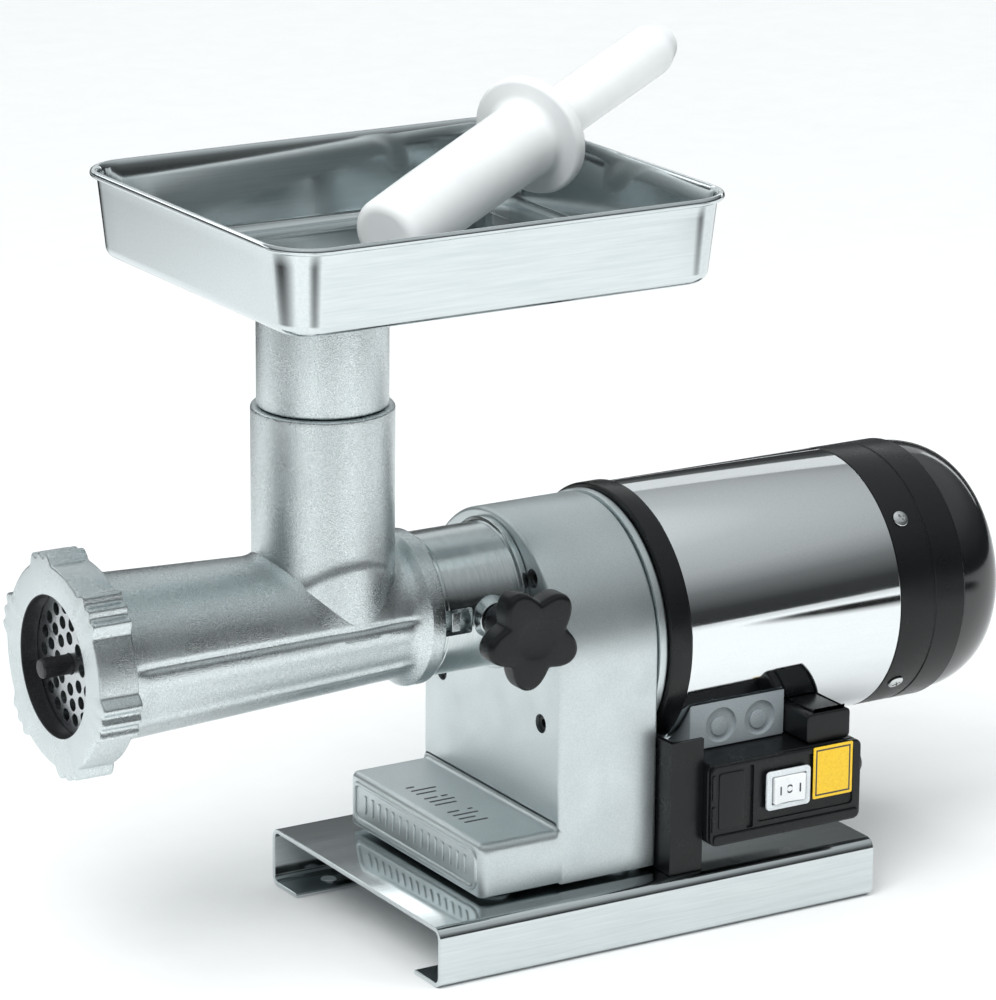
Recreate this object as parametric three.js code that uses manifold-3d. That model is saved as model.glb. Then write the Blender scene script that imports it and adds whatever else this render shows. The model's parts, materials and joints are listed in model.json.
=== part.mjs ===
// Bench-top electric meat grinder, size 22, as an assembly of separate pieces.
//
// Millimetres, +Z up. X runs along the machine from the outlet (-X) to the motor (+X), and Y = 0 is
// the middle plane. Pieces are drawn with X = 0 at the mouth of the head socket; the last lines move
// the whole assembly so that the origin is under its middle, on the surface it stands on.
import * as THREE from "three";
import { mergeVertices } from "three/addons/utils/BufferGeometryUtils.js";
import Module from "manifold-3d";

const wasm = await Module();
wasm.setup();

const gap = 0.3; // between pieces that touch
const running = 0.5; // between pieces that slide or turn past each other

// Base: a bent sheet channel with lips turned in at the bottom.
const baseFront = -31;
const baseLength = 263;
const baseWidth = 174;
const baseHeight = 32;
const baseSheet = 2.5;
const lipWidth = 26;
const bendRadius = 6;
const benchHoleRadius = 4.5;
const benchHoleInset = 26;

// Shaft heights.
const headAxisRise = 140.5; // barrel axis above the top of the base
const axisOffset = 24.5; // motor axis below the barrel axis
const headZ = baseHeight + headAxisRise;
const motorZ = headZ - axisOffset;

// Gearbox casting.
const footFront = 4.5;
const footHeight = 29;
const housingFront = 49.7;
const housingDepth = 59;
const housingRadius = 67.5;
const housingWall = 6;
const frontWall = 8;
const housingLift = 2.5; // of the casting above the base, on a pad round each bolt
const coverThickness = 5;
const coverLap = 1; // of the cover past the casting
const coverRadius = housingRadius + coverLap;
const caseScrewRadius = 3;
const caseScrewHead = 4.6;

// Gears: module and teeth of the two stages.
const stageOneModule = 1.25;
const motorPinionTeeth = 12;
const idlerGearTeeth = 40;
const stageTwoModule = 1.75;
const idlerPinionTeeth = 11;
const outputGearTeeth = 33;
const outputGearWidth = 16;
const idlerGearWidth = 9;

// Motor.
const endRingLength = 13;
const shellLength = 130;
const shellRadius = 69.5;
const endRingStep = 1.5; // of the end ring outside the shell
const endRingRadius = shellRadius + endRingStep;
const shellWall = 1.5;
const coreLength = 76;
const coreBore = 35;
const capLength = 73;
const capRadius = shellRadius;
const capSkirt = 42;
const capEndRadius = 50;
const capWall = 2.5;
const capScrewRadius = 2.6;

// Cutting end.
const plateRadius = 41;
const plateThickness = 8;
const knifeThickness = 5.7;
const knifeMargin = 4.5; // of plate left round the knife's sweep
const knifeRadius = plateRadius - knifeMargin;
const boreShoulder = 3; // step up from the bore to the knife's room
const boreFrontRadius = knifeRadius - boreShoulder;
const frontWallThickness = 5.2; // of the barrel outside the plate
const threadRadius = plateRadius + frontWallThickness;
const threadStep = 4.2; // of the threaded front above the barrel behind it
const barrelFrontRadius = threadRadius - threadStep;
const ringWall = 5.3;
const ringRadius = threadRadius + ringWall;
const ringLugHeight = 5;
const ringLugRadius = ringRadius + ringLugHeight;
const ringLugs = 6;
const ringDepth = 21;
const ringLip = 9;
const ringHold = 5.8; // width of the lip that holds the plate
const ringOpening = plateRadius - ringHold;
const plateHoleRadius = 3.3;
const pinLength = 16; // of the auger's front pin past the plate
const pinRadius = 5;
const squareHalf = 6.5; // half the width of the square that drives the knife
const ringLugPhase = -16; // degrees from the near side

// Head: barrel, throat and socket.
const socketBore = 31;
const socketWall = 6;
const socketRadius = socketBore + socketWall;
const barrelLength = 178.5; // from the socket mouth to the back of the ring nut
const boreTaper = 2.7; // growth of the bore's radius from rear to front
const boreRearRadius = boreFrontRadius - boreTaper;
const barrelWall = 4.2;
const barrelRearRadius = boreRearRadius + barrelWall;
const barrelRearWall = 14;
const flangeStep = 5;
const flangeRadius = barrelRearRadius + flangeStep;
const flangeThickness = 8;
const spigotLength = 42;
const spigotBore = 20;
const throatX = -48.6;
const throatTop = 285;
const throatBore = 29.7;
const throatWall = 6.3;
const throatRadius = throatBore + throatWall;

// Auger.
const augerClearance = 1.2;
const augerFlight = boreRearRadius - augerClearance;
const augerCore = 13;
const augerTurns = 3.25;
const shankRadius = 14;
const tangWidth = 20;
const tangThickness = 9;
const tangLength = 24;

// Feed.
const neckStep = 3.7; // of the neck's bore inside the throat's
const neckShoulder = 3.3; // of the neck outside the throat's bore
const neckBore = throatBore - neckStep;
const neckRadius = throatBore + neckShoulder;
const neckSpigot = 20;
const trayFloorZ = 348.5;
const trayLength = 255;
const trayWidth = 223;
const trayDepth = 45;
const traySheet = 1.5;
const trayRim = 3.4; // how far the rolled edge stands out past the wall
const trayDraft = 4;
const trayCorner = 26;
const trayCentreX = -2;
const trayCollarLength = 20;

// Pusher.
const pusherBody = 20;
const pusherBodyLength = 128;
const pusherDisc = 31.5;
const pusherDiscThickness = 9;
const pusherHandle = 14;
const pusherHandleLength = 134;
const pusherTipX = -27;
const pusherTipY = -23;
const pusherTurn = 25; // degrees, seen from above

// Clamp.
const clampX = 27.5;
const clampScrewRadius = 5;
const clampPadThickness = 2.5;
const clampTravel = 3;
const knobRadius = 27;
const knobLobes = 5;
const knobThickness = 13;
const knobFace = 81; // from the middle plane to the knob's outer face
const knobNeckRadius = 10;
const bossRadius = 9;
const bossFace = 42;

// Switch box.
const boxFront = 129;
const boxLength = 93;
const boxStandout = 14.5; // of the panel joint past the motor, from the middle plane
const boxFace = shellRadius + boxStandout;
const boxBottom = 46;
const boxHeight = 43.5;
const boxClearance = 2.6; // from the box's top rear edge to the motor
const boxWall = 2.5;
const panelThickness = 3;
const switchX = 175.5;
const switchZ = 71;
const switchWidth = 27;
const switchHeight = 21;
const rockerClearance = 1;
const labelWidth = 24.5;
const labelHeight = 28;
const terminalInset = 22; // of the terminal block behind the panel's joint
const terminalHeight = 26.5;

// Stations along X that follow from the sizes above.
const housingRear = housingFront + housingDepth;
const coverFront = housingRear + gap;
const endRingFront = coverFront + coverThickness + gap;
const shellFront = endRingFront + endRingLength + gap;
const shellRear = shellFront + shellLength;
const capFront = shellRear + gap;
const capRear = capFront + capLength;
const coreFront = shellFront + 0.5 * (shellLength - coreLength);
const boxTop = boxBottom + boxHeight;
const boxDepth = boxFace - Math.sqrt((shellRadius + boxClearance) ** 2 - (motorZ - boxTop) ** 2);
const plateFront = -barrelLength - ringDepth + ringLip + gap + gap;
const plateRear = plateFront + plateThickness;
const knifeFront = plateRear + gap;
const knifeRear = knifeFront + knifeThickness;
const ringFront = plateFront - gap - ringLip;
const barrelEnd = plateFront + 0.7;
const augerFront = knifeRear + 3;
const augerRear = -barrelRearWall - 2;
const pinFront = plateFront - pinLength;
const castingBottom = baseHeight + housingLift;

// ---- shape helpers ----

// A closed three.js geometry as a solid, turned the right way out.
function solid(geometry) {
  geometry.deleteAttribute("normal");
  geometry.deleteAttribute("uv");
  const merged = mergeVertices(geometry, 1e-4);
  const triVerts = new Uint32Array(merged.index.array);
  const body = new wasm.Manifold(
    new wasm.Mesh({ numProp: 3, vertProperties: merged.attributes.position.array, triVerts }),
  );
  if (body.volume() > 0) return body;
  triVerts.reverse();
  return new wasm.Manifold(
    new wasm.Mesh({ numProp: 3, vertProperties: merged.attributes.position.array, triVerts }),
  );
}

function joined(first, ...others) {
  return others.reduce((sum, other) => sum.add(other), first);
}

function cut(first, ...others) {
  return others.reduce((rest, other) => rest.subtract(other), first);
}

// A turned piece about the X axis through (y, z); the profile is [x, radius] points.
function turnedX(profile, y, z, segments = 28) {
  const points = profile.map(([x, radius]) => new THREE.Vector2(radius, x));
  const geometry = new THREE.LatheGeometry(points, segments);
  geometry.rotateZ(-Math.PI / 2);
  geometry.translate(0, y, z);
  return solid(geometry);
}

// A turned piece about the vertical through (x, y); the profile is [z, radius] points.
function turnedZ(profile, x, y, segments = 28) {
  const points = profile.map(([z, radius]) => new THREE.Vector2(radius, z));
  const geometry = new THREE.LatheGeometry(points, segments);
  geometry.rotateX(Math.PI / 2);
  geometry.translate(x, y, 0);
  return solid(geometry);
}

// A turned piece about the line along Y through (x, z); the profile is [y, radius] points.
function turnedY(profile, x, z, segments = 14) {
  const points = profile.map(([y, radius]) => new THREE.Vector2(radius, y));
  const geometry = new THREE.LatheGeometry(points, segments);
  geometry.translate(x, 0, z);
  return solid(geometry);
}

// Straight cylinders and tubes, from one end to the other.
function rodX(from, to, radius, y, z, segments) {
  return turnedX([[from, 0], [from, radius], [to, radius], [to, 0]], y, z, segments);
}

function tubeX(from, to, outer, inner, y, z, segments) {
  const profile = [[from, inner], [from, outer], [to, outer], [to, inner], [from, inner]];
  return turnedX(profile, y, z, segments);
}

function rodZ(from, to, radius, x, y, segments) {
  return turnedZ([[from, 0], [from, radius], [to, radius], [to, 0]], x, y, segments);
}

function rodY(from, to, radius, x, z, segments) {
  return turnedY([[from, 0], [from, radius], [to, radius], [to, 0]], x, z, segments);
}

function box(x0, x1, y0, y1, z0, z1) {
  const geometry = new THREE.BoxGeometry(x1 - x0, y1 - y0, z1 - z0);
  geometry.translate((x0 + x1) / 2, (y0 + y1) / 2, (z0 + z1) / 2);
  return solid(geometry);
}

// A flat outline in (y, z), extruded along X.
function extrudedX(shape, from, length, curveSegments = 10) {
  const geometry = new THREE.ExtrudeGeometry(shape, { depth: length, bevelEnabled: false, curveSegments });
  const basis = new THREE.Matrix4().makeBasis(
    new THREE.Vector3(0, 1, 0),
    new THREE.Vector3(0, 0, 1),
    new THREE.Vector3(1, 0, 0),
  );
  geometry.applyMatrix4(basis);
  geometry.translate(from, 0, 0);
  return solid(geometry);
}

// A flat outline in (x, z), extruded from y = from towards -Y.
function extrudedY(shape, from, length, curveSegments = 8) {
  const geometry = new THREE.ExtrudeGeometry(shape, { depth: length, bevelEnabled: false, curveSegments });
  geometry.rotateX(Math.PI / 2);
  geometry.translate(0, from, 0);
  return solid(geometry);
}

function roundedRectangle(x0, x1, z0, z1, radius) {
  const shape = new THREE.Shape();
  shape.moveTo(x0 + radius, z0);
  shape.lineTo(x1 - radius, z0);
  shape.absarc(x1 - radius, z0 + radius, radius, -Math.PI / 2, 0);
  shape.lineTo(x1, z1 - radius);
  shape.absarc(x1 - radius, z1 - radius, radius, 0, Math.PI / 2);
  shape.lineTo(x0 + radius, z1);
  shape.absarc(x0 + radius, z1 - radius, radius, Math.PI / 2, Math.PI);
  shape.lineTo(x0, z0 + radius);
  shape.absarc(x0 + radius, z0 + radius, radius, Math.PI, 1.5 * Math.PI);
  return shape;
}

// ---- the assembly and its finishes ----

const machine = new THREE.Group();

const finishes = {
  stainless: { color: 0xb9c0c4, roughness: 0.22, metalness: 1 },
  polished: { color: 0xc4c8ca, roughness: 0.1, metalness: 1 },
  casting: { color: 0xb7c0c3, roughness: 0.5, metalness: 0.9 },
  tinned: { color: 0xa9b0b3, roughness: 0.45, metalness: 0.9 },
  steel: { color: 0x8f9497, roughness: 0.35, metalness: 1 },
  darkSteel: { color: 0x3c3f42, roughness: 0.4, metalness: 0.9 },
  copper: { color: 0xb06a35, roughness: 0.4, metalness: 0.9 },
  laminations: { color: 0x5b5f63, roughness: 0.55, metalness: 0.8 },
  rubber: { color: 0x1a1a1a, roughness: 0.85, metalness: 0 },
  blackPlastic: { color: 0x15171a, roughness: 0.45, metalness: 0 },
  greyPlastic: { color: 0x9aa3a8, roughness: 0.55, metalness: 0 },
  white: { color: 0xeef2f2, roughness: 0.4, metalness: 0 },
  clear: { color: 0xcfd8dc, roughness: 0.15, metalness: 0 },
  yellow: { color: 0xf5c518, roughness: 0.5, metalness: 0 },
  brass: { color: 0xb5954a, roughness: 0.35, metalness: 1 },
};

function add(name, body, finish) {
  const raw = body.getMesh();
  const geometry = new THREE.BufferGeometry();
  geometry.setAttribute("position", new THREE.BufferAttribute(new Float32Array(raw.vertProperties), 3));
  geometry.setIndex(new THREE.BufferAttribute(new Uint32Array(raw.triVerts), 1));
  geometry.computeVertexNormals();
  const mesh = new THREE.Mesh(geometry, new THREE.MeshStandardMaterial(finishes[finish]));
  mesh.name = name;
  machine.add(mesh);
}

// ---- base ----

const footInset = 16; // of the casting's bolts from its sides
const footBolts = [
  [footFront + footInset, housingRadius - footInset],
  [footFront + footInset, footInset - housingRadius],
  [housingRear - footInset, housingRadius - footInset],
  [housingRear - footInset, footInset - housingRadius],
];
const footBoltRadius = 4;
const footBoltDepth = 18; // of thread in the casting
const boltHeadHeight = 5;

function baseChannel() {
  const half = baseWidth / 2;
  const inner = bendRadius - baseSheet;
  const shape = new THREE.Shape();
  shape.moveTo(-half + lipWidth, 0);
  shape.lineTo(-half + bendRadius, 0);
  shape.absarc(-half + bendRadius, bendRadius, bendRadius, 1.5 * Math.PI, Math.PI, true);
  shape.absarc(-half + bendRadius, baseHeight - bendRadius, bendRadius, Math.PI, Math.PI / 2, true);
  shape.absarc(half - bendRadius, baseHeight - bendRadius, bendRadius, Math.PI / 2, 0, true);
  shape.absarc(half - bendRadius, bendRadius, bendRadius, 0, -Math.PI / 2, true);
  shape.lineTo(half - lipWidth, 0);
  shape.lineTo(half - lipWidth, baseSheet);
  shape.absarc(half - bendRadius, bendRadius, inner, -Math.PI / 2, 0);
  shape.absarc(half - bendRadius, baseHeight - bendRadius, inner, 0, Math.PI / 2);
  shape.absarc(-half + bendRadius, baseHeight - bendRadius, inner, Math.PI / 2, Math.PI);
  shape.absarc(-half + bendRadius, bendRadius, inner, Math.PI, 1.5 * Math.PI);
  shape.lineTo(-half + lipWidth, baseSheet);
  const channel = extrudedX(shape, baseFront, baseLength, 3);
  const benchHoles = [];
  for (const x of [baseFront + benchHoleInset, baseFront + baseLength - benchHoleInset])
    for (const side of [-1, 1]) {
      const y = side * (half - lipWidth / 2 - 1);
      benchHoles.push(rodZ(-1, baseSheet + 1, benchHoleRadius, x, y, 10));
    }
  const boltHoles = footBolts.map(([x, y]) =>
    rodZ(baseHeight - 2 * baseSheet, baseHeight + 1, footBoltRadius + gap, x, y, 8),
  );
  return cut(channel, ...benchHoles, ...boltHoles);
}

function footBolt(x, y) {
  const headTop = baseHeight - baseSheet - gap;
  const shank = rodZ(headTop - 1, castingBottom + footBoltDepth - 1, footBoltRadius, x, y, 8);
  const head = rodZ(headTop - boltHeadHeight, headTop, 1.6 * footBoltRadius, x, y, 6);
  return joined(shank, head);
}

add("base_channel", baseChannel(), "stainless");
footBolts.forEach(([x, y], i) => add("foot_bolt_" + (i + 1), footBolt(x, y), "steel"));

// ---- gearbox ----

// Centre distances, and the idler's place from the two of them.
const stageOneDistance = (stageOneModule * (motorPinionTeeth + idlerGearTeeth)) / 2;
const stageTwoDistance = (stageTwoModule * (idlerPinionTeeth + outputGearTeeth)) / 2;
const idlerRise =
  (stageOneDistance ** 2 - stageTwoDistance ** 2 + axisOffset ** 2) / (2 * axisOffset);
const idlerY = Math.sqrt(stageOneDistance ** 2 - idlerRise ** 2);
const idlerZ = motorZ + idlerRise;

// Stations inside the gearbox.
const innerFront = housingFront + frontWall;
const sealFront = housingFront + gap;
const sealWidth = 3.5;
const frontBearingFront = sealFront + sealWidth + gap;
const bearingWidth = 12;
const bearingBossRear = frontBearingFront + bearingWidth + gap;
const outputGearFront = bearingBossRear + 2;
const outputGearRear = outputGearFront + outputGearWidth;
const idlerGearFront = outputGearRear + 3;
const idlerGearRear = idlerGearFront + idlerGearWidth;
const coverBossFront = idlerGearRear + 2;
const smallBearingWidth = 8;
const frontBearingRadius = 23.5;
const frontBearingBore = 12.5;
const smallBearingRadius = 11;
const smallShaft = 6;
const sealRadius = 19;
const outputShaftRadius = 12;
const caseScrews = [
  [-49.3, 115.6 - baseHeight],
  [49.3, 115.6 - baseHeight],
  [-39.9, 189.8 - baseHeight],
  [39.9, 189.8 - baseHeight],
].map(([y, rise]) => [y, baseHeight + rise]);

function housingOutline(radius) {
  const shape = new THREE.Shape();
  shape.moveTo(-radius, castingBottom);
  shape.lineTo(radius, castingBottom);
  shape.lineTo(radius, motorZ);
  shape.absarc(0, motorZ, radius, 0, Math.PI);
  shape.lineTo(-radius, castingBottom);
  return shape;
}

function gearboxHousing() {
  const body = extrudedX(housingOutline(housingRadius), housingFront, housingDepth, 20);
  const footTop = baseHeight + footHeight + housingLift;
  const foot = box(
    footFront, housingFront + 1, -housingRadius, housingRadius, castingBottom, footTop,
  );
  const pad = extrudedX(
    roundedRectangle(
      -housingRadius + 4, housingRadius - 4, castingBottom + 3, footTop - 3, 4,
    ),
    footFront - 1.5, 3, 4,
  );
  const cavity = rodX(innerFront, housingRear + 1, housingRadius - housingWall, 0, motorZ);
  const bolted = footBolts.map(([x, y]) =>
    rodZ(baseHeight + gap, castingBottom + 1, 2.2 * footBoltRadius, x, y, 8),
  );
  const bearingBoss = rodX(innerFront - 1, bearingBossRear, frontBearingRadius + 5, 0, headZ, 20);
  const idlerBoss = rodX(innerFront - 1, innerFront + 5, smallShaft + 5, idlerY, idlerZ, 10);
  const shell = joined(cut(joined(body, foot, pad, ...bolted), cavity), bearingBoss, idlerBoss);
  const sealSeat = rodX(housingFront - 1, frontBearingFront + 1, sealRadius + gap, 0, headZ, 20);
  const bearingSeat = rodX(
    frontBearingFront, bearingBossRear + 1, frontBearingRadius + gap, 0, headZ, 20,
  );
  const idlerHole = rodX(innerFront - 4, innerFront + 6, smallShaft + running, idlerY, idlerZ, 12);
  const screwHoles = caseScrews.flatMap(([y, z]) => [
    rodX(housingFront - 1, housingFront + 7, caseScrewHead + gap, y, z, 10),
    rodX(housingFront + 6, housingRear + 1, caseScrewRadius + gap, y, z, 6),
  ]);
  const boltHoles = footBolts.map(([x, y]) =>
    rodZ(baseHeight, castingBottom + footBoltDepth, footBoltRadius + gap, x, y, 8),
  );
  return cut(shell, sealSeat, bearingSeat, idlerHole, ...screwHoles, ...boltHoles);
}

// A long screw from the front face, through the gear chamber, into the cover.
function caseScrew(y, z) {
  const headFront = housingFront + 2;
  const headRear = housingFront + 7 - gap;
  const head = rodX(headFront, headRear, caseScrewHead, y, z, 10);
  const shank = rodX(headRear - 1, coverFront + coverThickness - 1.5, caseScrewRadius, y, z, 6);
  const socket = rodX(headFront - 1, headFront + 2.5, 2.5, y, z, 6);
  return cut(joined(head, shank), socket);
}

function gearboxCover() {
  const plate = rodX(coverFront, coverFront + coverThickness, coverRadius, 0, motorZ, 32);
  const bosses = [
    [0, headZ, smallBearingRadius + 3],
    [0, motorZ, smallBearingRadius + 3],
    [idlerY, idlerZ, smallShaft + 4],
  ].map(([y, z, radius]) => rodX(coverBossFront, coverFront + 1, radius, y, z, 12));
  const seatRear = coverBossFront + smallBearingWidth + gap;
  const seats = [
    rodX(coverBossFront - 1, seatRear, smallBearingRadius + gap, 0, headZ, 12),
    rodX(coverBossFront - 1, seatRear, smallBearingRadius + gap, 0, motorZ, 12),
    rodX(coverBossFront - 1, seatRear, smallShaft + running, idlerY, idlerZ, 12),
    rodX(seatRear - 1, coverFront + coverThickness + 1, smallShaft + 1, 0, motorZ, 10),
  ];
  const screwHoles = caseScrews.map(([y, z]) =>
    rodX(coverFront - 1, coverFront + coverThickness - 1, caseScrewRadius + gap, y, z, 6),
  );
  return cut(joined(plate, ...bosses), ...seats, ...screwHoles);
}

function gearShape(teeth, module, bore, turn) {
  const tip = (module * (teeth + 2)) / 2;
  const root = (module * (teeth - 2.5)) / 2;
  const flank = [
    [root, 0.86],
    [tip, 0.25],
  ];
  const shape = new THREE.Shape();
  for (let tooth = 0; tooth < teeth; tooth += 1) {
    const middle = turn + (2 * Math.PI * tooth) / teeth;
    for (const side of [-1, 1])
      for (const [radius, thickness] of side < 0 ? flank : flank.toReversed()) {
        const angle = middle + (side * thickness * module) / radius;
        const point = [radius * Math.cos(angle), radius * Math.sin(angle)];
        if (tooth === 0 && side < 0 && radius === root) shape.moveTo(...point);
        else shape.lineTo(...point);
      }
  }
  if (bore > 0) {
    const hole = new THREE.Path();
    hole.absarc(0, 0, bore, 0, 2 * Math.PI, true);
    shape.holes.push(hole);
  }
  return shape;
}

function gear(teeth, module, bore, turn, from, width, y, z) {
  return extrudedX(gearShape(teeth, module, bore, turn), from, width, 10).translate([0, y, z]);
}

// Direction from each gear to its mate; a tooth points at the mate's gap.
const outputToIdler = Math.atan2(idlerZ - headZ, idlerY);
const idlerToOutput = outputToIdler + Math.PI;
const motorToIdler = Math.atan2(idlerRise, idlerY);
const idlerToMotor = motorToIdler + Math.PI;

function ballBearing(from, width, outer, bore, y, z) {
  return tubeX(from, from + width, outer, bore, y, z, 12);
}

function shaftSeal() {
  const lip = outputShaftRadius + running;
  return tubeX(sealFront, sealFront + sealWidth, sealRadius, lip, 0, headZ, 20);
}

const couplingFront = 17;
const couplingRadius = 17;

function outputShaft() {
  const bearingEnd = coverBossFront + smallBearingWidth - 1;
  const profile = [
    [couplingFront, 0],
    [couplingFront, couplingRadius],
    [sealFront - 3, couplingRadius],
    [sealFront - 3, outputShaftRadius],
    [outputGearRear + 1, outputShaftRadius],
    [outputGearRear + 1, smallShaft + 3],
    [coverBossFront - 1, smallShaft + 3],
    [coverBossFront - 1, smallShaft],
    [bearingEnd, smallShaft],
    [bearingEnd, 0],
  ];
  const slot = box(
    couplingFront - 1, couplingFront + tangLength + 1,
    -tangWidth / 2 - running, tangWidth / 2 + running,
    headZ - tangThickness / 2 - running, headZ + tangThickness / 2 + running,
  );
  return cut(turnedX(profile, 0, headZ, 20), slot);
}

function idlerShaft() {
  const shaft = rodX(
    innerFront - 3.5, coverBossFront + smallBearingWidth - 0.5, smallShaft, idlerY, idlerZ, 10,
  );
  const turn = idlerToOutput + Math.PI / idlerPinionTeeth;
  const pinion = gear(
    idlerPinionTeeth, stageTwoModule, 0, turn, outputGearFront, outputGearWidth, idlerY, idlerZ,
  );
  return joined(shaft, pinion);
}

const fanFront = capFront + 16;
const fanLength = 22;
const rearBearingFront = capFront - 6;
const rotorBody = 8;

function rotorShaft() {
  const bearingEnd = coverBossFront + smallBearingWidth;
  const profile = [
    [idlerGearFront, 0],
    [idlerGearFront, smallShaft - 0.5],
    [coverBossFront - 1, smallShaft - 0.5],
    [coverBossFront - 1, smallShaft],
    [endRingFront + 3, smallShaft],
    [endRingFront + 3, rotorBody],
    [rearBearingFront - 1, rotorBody],
    [rearBearingFront - 1, smallShaft],
    [fanFront + fanLength - 2, smallShaft],
    [fanFront + fanLength - 2, 0],
  ];
  const pinion = gear(
    motorPinionTeeth, stageOneModule, 0, motorToIdler, idlerGearFront, idlerGearWidth, 0, motorZ,
  );
  return joined(turnedX(profile, 0, motorZ, 12), pinion);
}

add("gearbox_housing", gearboxHousing(), "casting");
add("gearbox_cover", gearboxCover(), "casting");
caseScrews.forEach(([y, z], i) => add("case_screw_" + (i + 1), caseScrew(y, z), "darkSteel"));
add("shaft_seal", shaftSeal(), "rubber");
add(
  "front_bearing",
  ballBearing(
    frontBearingFront, bearingWidth, frontBearingRadius, frontBearingBore + gap, 0, headZ,
  ),
  "steel",
);
add(
  "rear_bearing",
  ballBearing(coverBossFront, smallBearingWidth, smallBearingRadius, smallShaft + gap, 0, headZ),
  "steel",
);
add("output_shaft", outputShaft(), "steel");
add(
  "output_gear",
  gear(
    outputGearTeeth, stageTwoModule, outputShaftRadius + gap, outputToIdler,
    outputGearFront, outputGearWidth, 0, headZ,
  ),
  "steel",
);
add("idler_shaft", idlerShaft(), "steel");
add(
  "idler_gear",
  gear(
    idlerGearTeeth, stageOneModule, smallShaft + gap, idlerToMotor + Math.PI / idlerGearTeeth,
    idlerGearFront, idlerGearWidth, idlerY, idlerZ,
  ),
  "steel",
);

// ---- motor ----

const capScrewAngles = [-140, -40, 40, 140]; // degrees from the near side, about the motor axis
const capScrewX = capFront + 9;

function motorFrontRing() {
  const rim = endRingRadius - 5;
  const spigot = shellRadius - shellWall - gap;
  const web = endRingFront + 5;
  const lipRear = shellFront + 4;
  const profile = [
    [endRingFront, 12],
    [endRingFront, endRingRadius - 1],
    [endRingFront + 1, endRingRadius],
    [shellFront - gap, endRingRadius],
    [shellFront - gap, spigot],
    [lipRear, spigot],
    [lipRear, rim - 4],
    [web, rim - 4],
    [web, 12],
    [endRingFront, 12],
  ];
  return turnedX(profile, 0, motorZ, 32);
}

function winding(from, to) {
  const inner = coreBore + 4;
  const outer = shellRadius - 12;
  const round = 5;
  const profile = [
    [from, inner],
    [from, outer - round],
    [from + round, outer],
    [to - round, outer],
    [to, outer - round],
    [to, inner],
    [from, inner],
  ];
  return turnedX(profile, 0, motorZ, 16);
}

function rearShield() {
  const outer = shellRadius - shellWall - gap;
  const seat = smallBearingRadius + gap;
  const bearingRear = rearBearingFront + smallBearingWidth + gap;
  const profile = [
    [shellRear - 6, outer],
    [shellRear - 0.5, outer],
    [shellRear - 0.5, seat + 4],
    [bearingRear + 2, seat + 4],
    [bearingRear + 2, smallShaft + 1],
    [bearingRear, smallShaft + 1],
    [bearingRear, seat],
    [shellRear - 6, seat],
    [shellRear - 6, outer],
  ];
  return turnedX(profile, 0, motorZ, 32);
}

// Radial screws hold the cap's skirt; each sits in a hole in the skirt.
function capScrewPlace(degrees) {
  const angle = (degrees * Math.PI) / 180;
  return new THREE.Matrix4().makeRotationX(Math.PI + angle).setPosition(capScrewX, 0, motorZ);
}

function radialRod(degrees, from, to, radius, segments) {
  const geometry = new THREE.CylinderGeometry(radius, radius, to - from, segments);
  geometry.translate(0, (from + to) / 2, 0);
  geometry.applyMatrix4(capScrewPlace(degrees));
  return solid(geometry);
}

function rearCap() {
  const outerTail = [];
  const innerTail = [];
  const tail = capLength - capSkirt;
  for (let step = 0; step <= 3; step += 1) {
    const angle = (step / 3) * (Math.PI / 2);
    const drop = (capRadius - capEndRadius) * (1 - Math.cos(angle));
    const x = capFront + capSkirt + tail * Math.sin(angle);
    outerTail.push([x, capRadius - drop]);
    innerTail.push([x - capWall, capRadius - drop - capWall]);
  }
  const profile = [
    [capFront, capRadius - capWall],
    [capFront, capRadius],
    ...outerTail,
    [capRear, 0],
    [capRear - capWall, 0],
    ...innerTail.toReversed(),
    [capFront, capRadius - capWall],
  ];
  const shell = turnedX(profile, 0, motorZ, 32);
  const screwHoles = capScrewAngles.map((a) =>
    radialRod(a, capRadius - 8, capRadius + 2, capScrewRadius + gap, 6),
  );
  const slots = [];
  for (let k = 0; k < 8; k += 1) {
    const slot = box(capRear - 6, capRear + 1, -2.5, 2.5, 14, capEndRadius - 12);
    slots.push(slot.rotate([45 * k, 0, 0]).translate([0, 0, motorZ]));
  }
  return cut(shell, ...screwHoles, ...slots);
}

function capScrew(degrees) {
  const shank = radialRod(degrees, capRadius - 6, capRadius + 0.5, capScrewRadius, 6);
  const head = radialRod(degrees, capRadius + gap, capRadius + 1.6, capScrewRadius + 2, 8);
  return joined(shank, head);
}

function coolingFan() {
  const hub = tubeX(fanFront, fanFront + fanLength - 4, 14, smallShaft + gap, 0, motorZ, 12);
  const disc = tubeX(fanFront, fanFront + 2.5, 50, 10, 0, motorZ, 20);
  const blades = [];
  for (let k = 0; k < 8; k += 1) {
    const blade = box(fanFront + 1, fanFront + fanLength - 6, -1.2, 1.2, 12, 49);
    blades.push(blade.rotate([45 * k, 0, 0]).translate([0, 0, motorZ]));
  }
  return joined(disc, hub, ...blades);
}

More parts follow.
